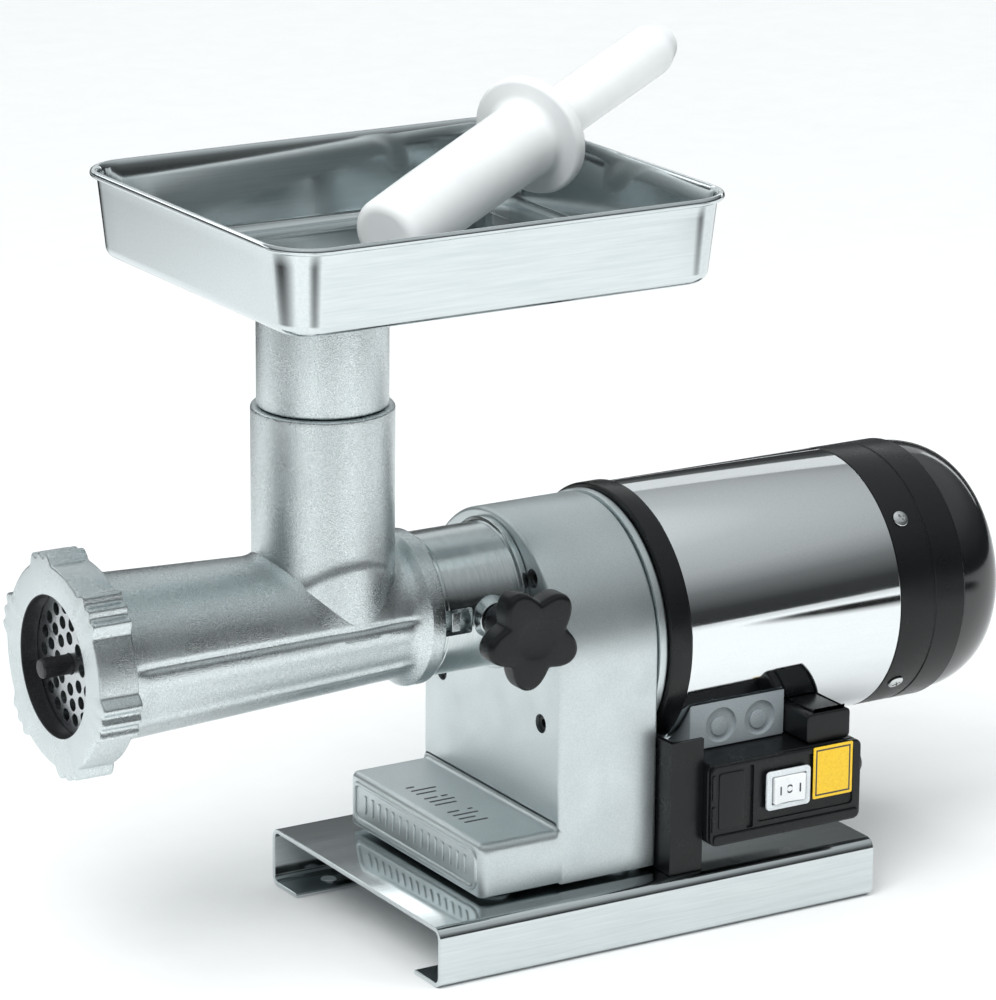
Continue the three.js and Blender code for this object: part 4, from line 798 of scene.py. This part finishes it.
def makeSwitchBox():
    s = switch
    x0, x1, y0, y1, z0, z1 = span("switch_box")
    housing = slab("housing", (x0, x1, y0, y1, z0, z1), s["corner"], 1.2)
    lugs = [slab("lug", (x1 - 2, x1 + 2.4, y0 + 6, y0 + 15, z, z + 9), 2.4, 0.8) for z in (z0 + 6, z1 - 14)]
    finished("switchHousing", merged("switchHousing", [housing, *lugs]), "root", ["switch_box"],
             "black_moulding", 35)
    a0, a1, b0, b1, c0, c1 = span("switch_panel")
    panel = slab("panel", (a0, a1, b0, b1, c0, c1), s["corner"], 0.9)
    half, tall = s["width"] / 2 - 1.5, s["height"] / 2 - 1.5
    groove = slab("groove", (s["grooveX"] - 2, s["grooveX"] + 2, b0 - 1, b0 + 1.6, c0 + 7, c1 - 2.5), 0.8,
                  0.05)
    well = slab("well", (s["x"] - 18, a1 - 5, b0 - 1, b0 + 1.1, c0 + 9, c1 - 3), 2, 0.05)
    opening = slab("opening", (s["x"] - half, s["x"] + half, b0 - 2, b1 + 1, s["z"] - tall, s["z"] + tall),
                   1, 0.05)
    panel = carved(panel, [groove, well, opening], useSelf=True)
    blank = slab("blank", (a0 + 4.5, s["grooveX"] - 4, b0 - 0.7, b0 + 0.6, c0 + 9, c1 - 4), 1.6, 0.5)
    sill = slab("sill", (a0 + 1.5, a1 - 1.5, b0 - 1.1, b0 + 0.6, c0 + 1.2, c0 + 6.2), 1.8, 0.6)
    ribs = [slab("rib", (a0 + 0.4, a0 + 2.2, b0 - 1.0, b0 + 0.6, c0 + lo, c0 + hi), 0.6, 0.4)
            for lo, hi in ((8, 22), (25, 39))]
    finished("switchPanel", merged("switchPanel", [panel, blank, sill, *ribs]), "root", ["switch_panel"],
             "black_moulding", 35)
    # clear bezel: a frame round the rocker with a core through the panel
    p0, p1, q0, q1, r0, r1 = span("switch_body")
    bezel = slab("bezel", (p0, p1, q0, q0 + 2, r0, r1), 2.2, 0.7)
    core = slab("core", (s["x"] - half + 0.3, s["x"] + half - 0.3, q0 + 1.2, q1, s["z"] - tall + 0.3,
                         s["z"] + tall - 0.3), 1, 0.3)
    body = carved(bezel, [core], "UNION")
    inner = slab("inner", (s["x"] - half + 1.3, s["x"] + half - 1.3, q0 - 1, q0 + 8.4, s["z"] - tall + 1.3,
                           s["z"] + tall - 1.3),
                 0.8, 0.05)
    finished("switchBezel", carved(body, [inner]), "root", ["switch_body"], "clear_bezel", 35)
    # rocker: a shallow V seen from above, carried up its height with rounded edges
    u0, u1, v0, v1, w0, w1 = span("rocker")
    middle = (u0 + u1) / 2
    outline = rounded([(u0, v0, 0.9), (middle, v0 + 1.4, 9), (u1, v0, 0.9), (u1 - 0.6, v1, 0.8),
                       (u0 + 0.6, v1, 0.8)],
                      7, closed=True)
    finished("rockerCap", prism("rockerCap", outline, w0, w1, 0.8, "xy"), "rocker", ["rocker"],
             "white_rocker", 35)
    marks = []
    for x in (middle - 6, middle + 6):
        marks.append(slab("bar", (x - 0.45, x + 0.45, v0 + 0.42, v0 + 0.62, s["z"] - 2.4, s["z"] + 2.4),
                          0.3, 0.02))
    ring = turned("ring", [[v0 + 1.18, 1.5], [v0 + 1.18, 2.3], [v0 + 1.6, 2.3], [v0 + 1.6, 1.5]],
                  (middle, 0, s["z"]),
                  (0, 1, 0), 48, ring=True)
    return finished("rockerMarks", merged("rockerMarks", [*marks, ring]), "rocker", [], "", 35)


rockerMarks = makeSwitchBox()


def makeBoxFittings():
    # raised block behind the label, the label with a thin border, the terminal strip and the gland
    x0, x1, y0, y1, z0, z1 = span("capacitor_cover")
    block = slab("block", (x0, x1, y0, y1, z0, z1), 2.6, 1)
    top = slab("top", (x0 + 5, x1 - 3, y0 + 1.5, y1 - 2, z1 - 1, z1 + 0.8), 2, 0.6)
    finished("capacitorCover", merged("capacitorCover", [block, top]), "root", ["capacitor_cover"],
             "black_moulding", 35)
    x0, x1, y0, y1, z0, z1 = span("plain_label")
    finished("plainLabel", slab("plainLabel", (x0, x1, y0, y1, z0, z1), 0.9, 0.12), "root", ["plain_label"],
             "yellow_film", 35)
    x0, x1, y0, y1, z0, z1 = span("terminal_block")
    strip = slab("strip", (x0, x1, y0, y1, z0, z1 + 1), 1.4, 0.7)
    cuts = [rod((x0 - 2, 0, motor["z"]), x1 - x0 + 4, 70.5, segments=160)]
    cuts += [turned("knock", rounded([[y0 - 1, 0], [y0 - 1, 9.5], [y0 + 2.2, 9.1, 0.8], [y0 + 2.2, 0]], 3),
                    (x, 0, z0 + 11.7),
                    (0, 1, 0), 48) for x in (x0 + 19, x0 + 43)]
    strip = carved(strip, cuts)
    blanks = [turned("blank", rounded([[y0 + 0.9, 0], [y0 + 0.9, 5.2, 0.6], [y0 + 4, 5.2], [y0 + 4, 0]], 3),
                     (x, 0, z0 + 10.5),
                     (0, 1, 0), 40) for x in (x0 + 19, x0 + 43)]
    finished("terminalStrip", merged("terminalStrip", [strip, *blanks]), "root", ["terminal_block"],
             "grey_moulding", 35)
    x0, x1, y0, y1, z0, z1 = span("cable_gland")
    outer = (y1 - y0) / 2
    wall = span("switch_box")[1]
    gland = turned("cableGland", rounded([
        [x0, 4], [x0, outer - 3, 0.4], [wall + 0.3, outer - 3], [wall + 0.3, outer, 0.8],
        [wall + 6, outer, 1], [wall + 7, outer - 1.6, 0.6], [x1, outer - 4, 1.4], [x1, 4, 0.5]], 4),
        (0, (y0 + y1) / 2, (z0 + z1) / 2), (1, 0, 0), 72, ring=True,
        lift=lambda u, r, a: np.where((r > outer - 1.5) & (u > wall), 0.5 * np.abs(np.cos(6 * a)) - 0.5, 0))
    finished("cableGland", gland, "root", ["cable_gland"], "black_moulding", 35)


makeBoxFittings()


def makeCapScrews():
    cap = span("rear_cap")
    r = cap[3]
    place = (cap[0] + motor["screwInset"], 0, motor["z"])
    for k, degrees in enumerate(motor["screwAngles"], 1):
        q = math.radians(degrees)
        axis = (0, -math.cos(q), -math.sin(q))
        screw = turned("screw", rounded([[r - 6, 0], [r - 6, 2.6], [r + 0.3, 2.6], [r + 0.3, 4.4, 0.2],
                                         [r + 0.9, 4.3, 0.6],
                                        [r + 1.6, 2.2, 2], [r + 1.65, 0]], 4), place, axis, 40)
        slots = []
        for turn in (0, pi / 2):
            bar = slab("bar", (-2.4, 2.4, -0.45, 0.45, r + 0.8, r + 3), 0.3, 0.02, "xy", 2)
            tilt = Matrix.Rotation(math.atan2(-axis[1], axis[2]), 4, "X") @ Matrix.Rotation(turn + 0.5, 4,
                                                                                            "Z")
            bar.transform(Matrix.Translation([0.001 * v for v in place]) @ tilt)
            slots.append(bar)
        finished("capScrew" + str(k), carved(screw, slots, useSelf=True), "root", ["cap_screw_" + str(k)],
                 "zinc_screws", 35)


makeCapScrews()
print("stage: switch box and screws")


# ---- shared surface effects: node groups that give masks and normals only ----

def detailGroup():
    # three sizes of noise in object space, stretched on request, as masks and as a bumped normal
    group = bpy.data.node_groups.new("surfaceDetail", "ShaderNodeTree")
    face = group.interface
    for name, kind, value in (("Scale", "NodeSocketFloat", 600), ("Stretch", "NodeSocketVector", (1, 1, 1)),
                              ("Bump", "NodeSocketFloat", 0.2), ("Depth", "NodeSocketFloat", 0.0002)):
        face.new_socket(name, in_out="INPUT", socket_type=kind).default_value = value
    for name, kind in (("Broad", "NodeSocketFloat"), ("Fine", "NodeSocketFloat"),
                       ("Grain", "NodeSocketFloat"),
                       ("Normal", "NodeSocketVector")):
        face.new_socket(name, in_out="OUTPUT", socket_type=kind)
    nodes, links = group.nodes, group.links
    inputs, outputs = nodes.new("NodeGroupInput"), nodes.new("NodeGroupOutput")
    place = nodes.new("ShaderNodeTexCoord")
    stretch = nodes.new("ShaderNodeVectorMath")
    stretch.operation = "MULTIPLY"
    links.new(place.outputs["Object"], stretch.inputs[0])
    links.new(inputs.outputs["Stretch"], stretch.inputs[1])
    noises = []
    for share, detail in ((0.035, 3), (1.0, 4), (2.3, 1)):
        size = nodes.new("ShaderNodeMath")
        size.operation = "MULTIPLY"
        size.inputs[1].default_value = share
        links.new(inputs.outputs["Scale"], size.inputs[0])
        noise = nodes.new("ShaderNodeTexNoise")
        noise.inputs["Detail"].default_value = detail
        noise.inputs["Roughness"].default_value = 0.6
        links.new(stretch.outputs[0], noise.inputs["Vector"])
        links.new(size.outputs[0], noise.inputs["Scale"])
        noises.append(noise)
    both = nodes.new("ShaderNodeMath")
    both.operation = "ADD"
    links.new(noises[1].outputs["Fac"], both.inputs[0])
    links.new(noises[2].outputs["Fac"], both.inputs[1])
    bump = nodes.new("ShaderNodeBump")
    links.new(both.outputs[0], bump.inputs["Height"])
    links.new(inputs.outputs["Bump"], bump.inputs["Strength"])
    links.new(inputs.outputs["Depth"], bump.inputs["Distance"])
    for noise, name in zip(noises, ("Broad", "Fine", "Grain")):
        sharpen = nodes.new("ShaderNodeMapRange")
        sharpen.inputs["From Min"].default_value = 0.3
        sharpen.inputs["From Max"].default_value = 0.7
        links.new(noise.outputs["Fac"], sharpen.inputs["Value"])
        links.new(sharpen.outputs["Result"], outputs.inputs[name])
    links.new(bump.outputs["Normal"], outputs.inputs["Normal"])
    return group


detail = detailGroup()


def finish(name, dark, light, metal, rough, spread, scale, bump, depth=0.0002, stretch=(1, 1, 1), mask="Fine",
           coat=0, under=0):
    # base colour runs from dark to light with one mask, and roughness spreads with another
    made = bpy.data.materials.new(name)
    made.use_nodes = True
    nodes, links = made.node_tree.nodes, made.node_tree.links
    shader = nodes["Principled BSDF"]
    skin = nodes.new("ShaderNodeGroup")
    skin.node_tree = detail
    skin.inputs["Scale"].default_value = scale
    skin.inputs["Stretch"].default_value = stretch
    skin.inputs["Bump"].default_value = bump
    skin.inputs["Depth"].default_value = depth
    tone = nodes.new("ShaderNodeMix")
    tone.data_type = "RGBA"
    tone.inputs[6].default_value = (*dark, 1)
    tone.inputs[7].default_value = (*light, 1)
    links.new(skin.outputs[mask], tone.inputs[0])
    links.new(tone.outputs[2], shader.inputs["Base Color"])
    shine = nodes.new("ShaderNodeMapRange")
    shine.inputs["To Min"].default_value = max(rough - spread, 0.01)
    shine.inputs["To Max"].default_value = rough + spread
    links.new(skin.outputs["Broad"], shine.inputs["Value"])
    links.new(shine.outputs["Result"], shader.inputs["Roughness"])
    if bump > 0:
        links.new(skin.outputs["Normal"], shader.inputs["Normal"])
    shader.inputs["Metallic"].default_value = metal
    shader.inputs["Coat Weight"].default_value = coat
    shader.inputs["Coat Roughness"].default_value = 0.15
    shader.inputs["Subsurface Weight"].default_value = under
    shader.inputs["Subsurface Radius"].default_value = (0.006, 0.006, 0.006)
    return made


looks = {
    "stainless_sheet": finish("stainlessSheet", (0.58, 0.63, 0.64), (0.68, 0.72, 0.73), 1, 0.11, 0.03, 900,
                              0.03,
                              0.00004, (0.03, 1, 1)),
    "cast_aluminium": finish("castAluminium", (0.60, 0.66, 0.67), (0.72, 0.77, 0.78), 1, 0.42, 0.05, 1400,
                             0.12, 0.0001),
    "turned_aluminium": finish("turnedAluminium", (0.52, 0.57, 0.58), (0.66, 0.70, 0.70), 1, 0.22, 0.05,
                               2200, 0.08,
                               0.00006, (1, 0.06, 0.06)),
    "polished_shell": finish("polishedShell", (0.74, 0.77, 0.78), (0.80, 0.83, 0.84), 1, 0.07, 0.015, 1500,
                             0),
    "tinned_casting": finish("tinnedCasting", (0.40, 0.46, 0.47), (0.86, 0.90, 0.91), 1, 0.27, 0.05, 1050,
                             0.4, 0.0003,
                             mask="Grain"),
    "tool_steel": finish("toolSteel", (0.50, 0.53, 0.54), (0.64, 0.67, 0.68), 1, 0.28, 0.06, 1500, 0.1,
                         0.00008,
                         (0.2, 1, 1)),
    "machined_steel": finish("machinedSteel", (0.32, 0.34, 0.35), (0.48, 0.50, 0.51), 1, 0.3, 0.08, 1300,
                             0.1, 0.0001,
                             (1, 0.15, 0.15)),
    "zinc_screws": finish("zincScrews", (0.56, 0.58, 0.58), (0.74, 0.76, 0.76), 1, 0.2, 0.06, 1600, 0.08,
                          0.00006),
    "blackened_steel": finish("blackenedSteel", (0.02, 0.02, 0.022), (0.06, 0.06, 0.065), 0.7, 0.35, 0.08,
                              1500, 0.2),
    "laminations": finish("laminations", (0.10, 0.11, 0.12), (0.34, 0.36, 0.38), 1, 0.45, 0.08, 1400, 0.5,
                          0.0003,
                          (1, 0.02, 0.02)),
    "copper_winding": finish("copperWinding", (0.42, 0.16, 0.06), (0.78, 0.38, 0.18), 1, 0.32, 0.06, 900,
                             0.7, 0.0005,
                             (1, 0.2, 0.2)),
    "seal_rubber": finish("sealRubber", (0.012, 0.012, 0.012), (0.035, 0.035, 0.036), 0, 0.7, 0.08, 1500,
                          0.3),
    "black_moulding": finish("blackMoulding", (0.0025, 0.003, 0.0035), (0.007, 0.008, 0.009), 0, 0.3, 0.05,
                             1700, 0.08,
                             0.00006),
    "grey_moulding": finish("greyMoulding", (0.24, 0.28, 0.30), (0.34, 0.38, 0.40), 0, 0.42, 0.06, 1500,
                            0.2, 0.0001),
    "white_polyethylene": finish("whitePolyethylene", (0.80, 0.83, 0.83), (0.90, 0.92, 0.92), 0, 0.33, 0.05,
                                 500, 0.08,
                                 0.0001, mask="Broad", under=0.35),
    "white_rocker": finish("whiteRocker", (0.78, 0.81, 0.82), (0.88, 0.90, 0.90), 0, 0.2, 0.04, 1500, 0.05,
                           coat=0.3),
    "clear_bezel": finish("clearBezel", (0.62, 0.67, 0.70), (0.78, 0.82, 0.84), 0, 0.12, 0.04, 1500, 0.04,
                          coat=0.5),
    "yellow_film": finish("yellowFilm", (0.83, 0.50, 0.0), (0.95, 0.62, 0.01), 0, 0.3, 0.04, 900, 0.05,
                          coat=0.3),
    "brass_parts": finish("brassParts", (0.55, 0.38, 0.13), (0.75, 0.56, 0.24), 1, 0.28, 0.06, 1500, 0.1),
}
looks["black_moulding"].node_tree.nodes["Principled BSDF"].inputs["Specular IOR Level"].default_value = 0.32
glossBlack = finish("glossBlack", (0.003, 0.0035, 0.004), (0.008, 0.009, 0.010), 0, 0.1, 0.02, 1700, 0,
                    coat=0.6)
ink = finish("printInk", (0.02, 0.022, 0.024), (0.06, 0.065, 0.07), 0, 0.5, 0.05, 1500, 0.1)


def addBorder(made, node):
    # a thin dark line just inside the label's edge, from the distance to the edge in object space
    x0, x1, _, _, z0, z1 = [v * 0.001 for v in span(node)]
    nodes, links = made.node_tree.nodes, made.node_tree.links
    shader = nodes["Principled BSDF"]
    previous = shader.inputs["Base Color"].links[0].from_socket
    place = nodes.new("ShaderNodeTexCoord")
    axes = nodes.new("ShaderNodeSeparateXYZ")
    links.new(place.outputs["Object"], axes.inputs[0])
    reach = []
    for socket, low, high in (("X", x0, x1), ("Z", z0, z1)):
        away = nodes.new("ShaderNodeMath")
        away.operation = "SUBTRACT"
        away.inputs[1].default_value = (low + high) / 2
        links.new(axes.outputs[socket], away.inputs[0])
        size = nodes.new("ShaderNodeMath")
        size.operation = "ABSOLUTE"
        links.new(away.outputs[0], size.inputs[0])
        edge = nodes.new("ShaderNodeMath")
        edge.operation = "SUBTRACT"
        edge.inputs[0].default_value = (high - low) / 2
        links.new(size.outputs[0], edge.inputs[1])
        reach.append(edge)
    nearest = nodes.new("ShaderNodeMath")
    nearest.operation = "MINIMUM"
    links.new(reach[0].outputs[0], nearest.inputs[0])
    links.new(reach[1].outputs[0], nearest.inputs[1])
    line = nodes.new("ShaderNodeMath")
    line.operation = "COMPARE"
    line.inputs[1].default_value = 0.0019
    line.inputs[2].default_value = 0.00045
    links.new(nearest.outputs[0], line.inputs[0])
    tone = nodes.new("ShaderNodeMix")
    tone.data_type = "RGBA"
    tone.inputs[7].default_value = (0.02, 0.02, 0.02, 1)
    links.new(line.outputs[0], tone.inputs[0])
    links.new(previous, tone.inputs[6])
    links.new(tone.outputs[2], shader.inputs["Base Color"])


addBorder(looks["yellow_film"], "plain_label")

for part in frame["record"]["subparts"]:
    node = frame["nodes"][part["node"]]
    node.data.materials.clear()
    node.data.materials.append(looks[part["material_slot"]])
for obj in scene.objects:
    if obj.type == "MESH" and obj.get("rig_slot"):
        obj.data.materials.clear()
        obj.data.materials.append(looks[obj["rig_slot"]])


def repaint(obj, look, chosen):
    # give a second material to the faces whose centre, in millimetres, passes a test: a glossier end on the
    # rear cap, and painted shade inside the ring nut's opening
    obj.data.materials.append(look)
    for face in obj.data.polygons:
        if chosen(*(1000 * face.center)):
            face.material_index = 1


lipRear = span("ring_nut")[0] + nut["lip"]
skirtRear = span("rear_cap")[0] + motor["skirt"] - 0.2
# painted shade: the inner wall of the ring nut's opening takes the dark blackened steel look in place of the
# shade and dark reflections inside the opening, not a different metal
repaint(ringObject, looks["blackened_steel"],
        lambda x, y, z: x < lipRear and math.hypot(y, z - head["z"]) < nut["opening"] + 0.45)
repaint(capObject, glossBlack, lambda x, y, z: x > skirtRear)
for obj in (ratingBars, rockerMarks):
    obj.data.materials.clear()
    obj.data.materials.append(ink)
for node in frame["nodes"].values():
    if not node.hide_render:
        soften = node.modifiers.new("soften", "BEVEL")
        soften.width = 0.0004
        soften.segments = 2
        soften.limit_method = "ANGLE"
        soften.angle_limit = math.radians(50)
        node.data.shade_smooth()
        node.data.set_sharp_from_angle(angle=math.radians(40))
print("stage: finishes")


# ---- floor, light and camera ----

studio = {"floorSize": 12, "world": 1.0, "target": (-0.02, 0, 0.2)}


def makeFloor():
    mesh = bpy.data.meshes.new("floor")
    s = studio["floorSize"]
    mesh.from_pydata([(-s, -s, 0), (s, -s, 0), (s, s, 0), (-s, s, 0)], [], [(0, 1, 2, 3)])
    floor = bpy.data.objects.new("floor", mesh)
    scene.collection.objects.link(floor)
    mesh.materials.append(finish("floorPaper", (0.93, 0.94, 0.94), (0.96, 0.97, 0.97), 0, 0.7, 0.05, 30, 0))


def panel(name, place, size, power, toward=studio["target"], colour=(1, 1, 1)):
    light = bpy.data.lights.new(name, "AREA")
    light.shape = "RECTANGLE"
    light.size, light.size_y = size
    light.energy = power
    light.color = colour
    obj = bpy.data.objects.new(name, light)
    scene.collection.objects.link(obj)
    obj.location = place
    way = Vector(place) - Vector(toward)
    obj.rotation_euler = way.to_track_quat("Z", "Y").to_euler()
    obj.visible_glossy = False


def card(name, place, size, turn, tone=0.01, glow=0, soft=0.0):
    # a card that only reflections see; with soft, it fades out toward its edges
    mesh = bpy.data.meshes.new(name)
    u, v = size[0] / 2, size[1] / 2
    mesh.from_pydata([(-u, -v, 0), (u, -v, 0), (u, v, 0), (-u, v, 0)], [], [(0, 1, 2, 3)])
    made = bpy.data.objects.new(name, mesh)
    scene.collection.objects.link(made)
    made.location = place
    made.rotation_euler = turn
    look = finish(name + "Look", (tone, tone, tone), (1.2 * tone, 1.2 * tone, 1.2 * tone), 0, 0.8, 0.02, 30,
                  0)
    nodes, links = look.node_tree.nodes, look.node_tree.links
    shader = nodes["Principled BSDF"]
    shader.inputs["Specular IOR Level"].default_value = 0
    shader.inputs["Emission Color"].default_value = (0.94, 0.985, 1, 1)
    shader.inputs["Emission Strength"].default_value = glow
    if soft:
        spot = nodes.new("ShaderNodeTexCoord")
        shape = nodes.new("ShaderNodeVectorMath")
        shape.operation = "MULTIPLY"
        shape.inputs[1].default_value = (1 / u, 1 / v, 0)
        blob = nodes.new("ShaderNodeTexGradient")
        blob.gradient_type = "SPHERICAL"
        fade = nodes.new("ShaderNodeMapRange")
        fade.inputs["From Max"].default_value = soft
        links.new(spot.outputs["Object"], shape.inputs[0])
        links.new(shape.outputs[0], blob.inputs["Vector"])
        links.new(blob.outputs["Fac"], fade.inputs["Value"])
        links.new(fade.outputs["Result"], shader.inputs["Alpha"])
    mesh.materials.append(look)
    made.visible_camera = False
    made.visible_diffuse = False
    made.visible_shadow = False


def sun(name, strength, width, toward):
    # an even, soft light from a wide patch of sky
    light = bpy.data.lights.new(name, "SUN")
    light.energy = strength
    light.angle = math.radians(width)
    obj = bpy.data.objects.new(name, light)
    scene.collection.objects.link(obj)
    obj.rotation_euler = Vector(toward).to_track_quat("Z", "Y").to_euler()
    obj.visible_glossy = False


makeFloor()


def makeWorld():
    # brightness by elevation: a dark horizon, a wall that fades up to grey, and a pale ceiling
    world = bpy.data.worlds.new("studioWorld")
    scene.world = world
    world.use_nodes = True
    nodes, links = world.node_tree.nodes, world.node_tree.links
    place = nodes.new("ShaderNodeTexCoord")
    axes = nodes.new("ShaderNodeSeparateXYZ")
    ramp = nodes.new("ShaderNodeValToRGB")
    links.new(place.outputs["Generated"], axes.inputs[0])
    links.new(axes.outputs["Z"], ramp.inputs["Fac"])
    stops = [(0.0, 0.04), (0.16, 0.05), (0.4, 0.20), (0.62, 0.48), (0.84, 0.62), (1.0, 0.9)]
    for k, (where, level) in enumerate(stops):
        stop = ramp.color_ramp.elements[k] if k < 2 else ramp.color_ramp.elements.new(where)
        stop.position = where
        stop.color = (level * 0.94, level * 0.985, level, 1)
    background = nodes["Background"]
    links.new(ramp.outputs["Color"], background.inputs["Color"])
    background.inputs["Strength"].default_value = studio["world"]


makeWorld()
panel("keyPanel", (-1.7, -1.2, 2.3), (1.3, 1.3), 30)
panel("sidePanel", (1.6, -2.0, 1.5), (0.8, 1.4), 10)
sun("skySun", 1.9, 70, (-0.35, -0.3, 1))
card("leftFlag", (-1.25, 0.2, 0.004), (1.1, 1.7), (0, 0, 0), soft=0.6)
card("frontFlag", (-0.45, -1.05, 0.004), (0.55, 1.1), (0, 0, math.radians(-28)), soft=0.7)
card("rightFlag", (0.95, -1.0, 0.004), (0.7, 1.3), (0, 0, math.radians(20)), soft=0.5)
card("backFlag", (1.6, 2.6, 0.004), (8, 4.2), (0, 0, 0), soft=0.3)
card("trayCard", (0.32, 0.62, 0.62), (1.2, 0.3), (math.radians(90), 0, 0), tone=0.3, glow=0.5)
card("skyStrip", (2.0, 2.3, 1.62), (12, 0.5), (math.radians(90), 0, 0), tone=0.5, glow=1.9)

camera = bpy.data.objects.new("camera", bpy.data.cameras.new("camera"))
scene.collection.objects.link(camera)
scene.camera = camera
view = {"place": (-1.2746, -2.0853, 0.9337), "azimuth": -31.25, "elevation": 16.3, "roll": 0.45,
        "lens": 179.9}
camera.location = view["place"]
facing = Euler((math.radians(90 - view["elevation"]), 0, math.radians(view["azimuth"]))).to_matrix()
camera.rotation_euler = (facing @ Matrix.Rotation(math.radians(view["roll"]), 3, "Z")).to_euler()
camera.data.lens = view["lens"]
camera.data.sensor_width = 36
camera.data.clip_end = 50
scene.view_settings.view_transform = "Standard"
print("stage: studio")
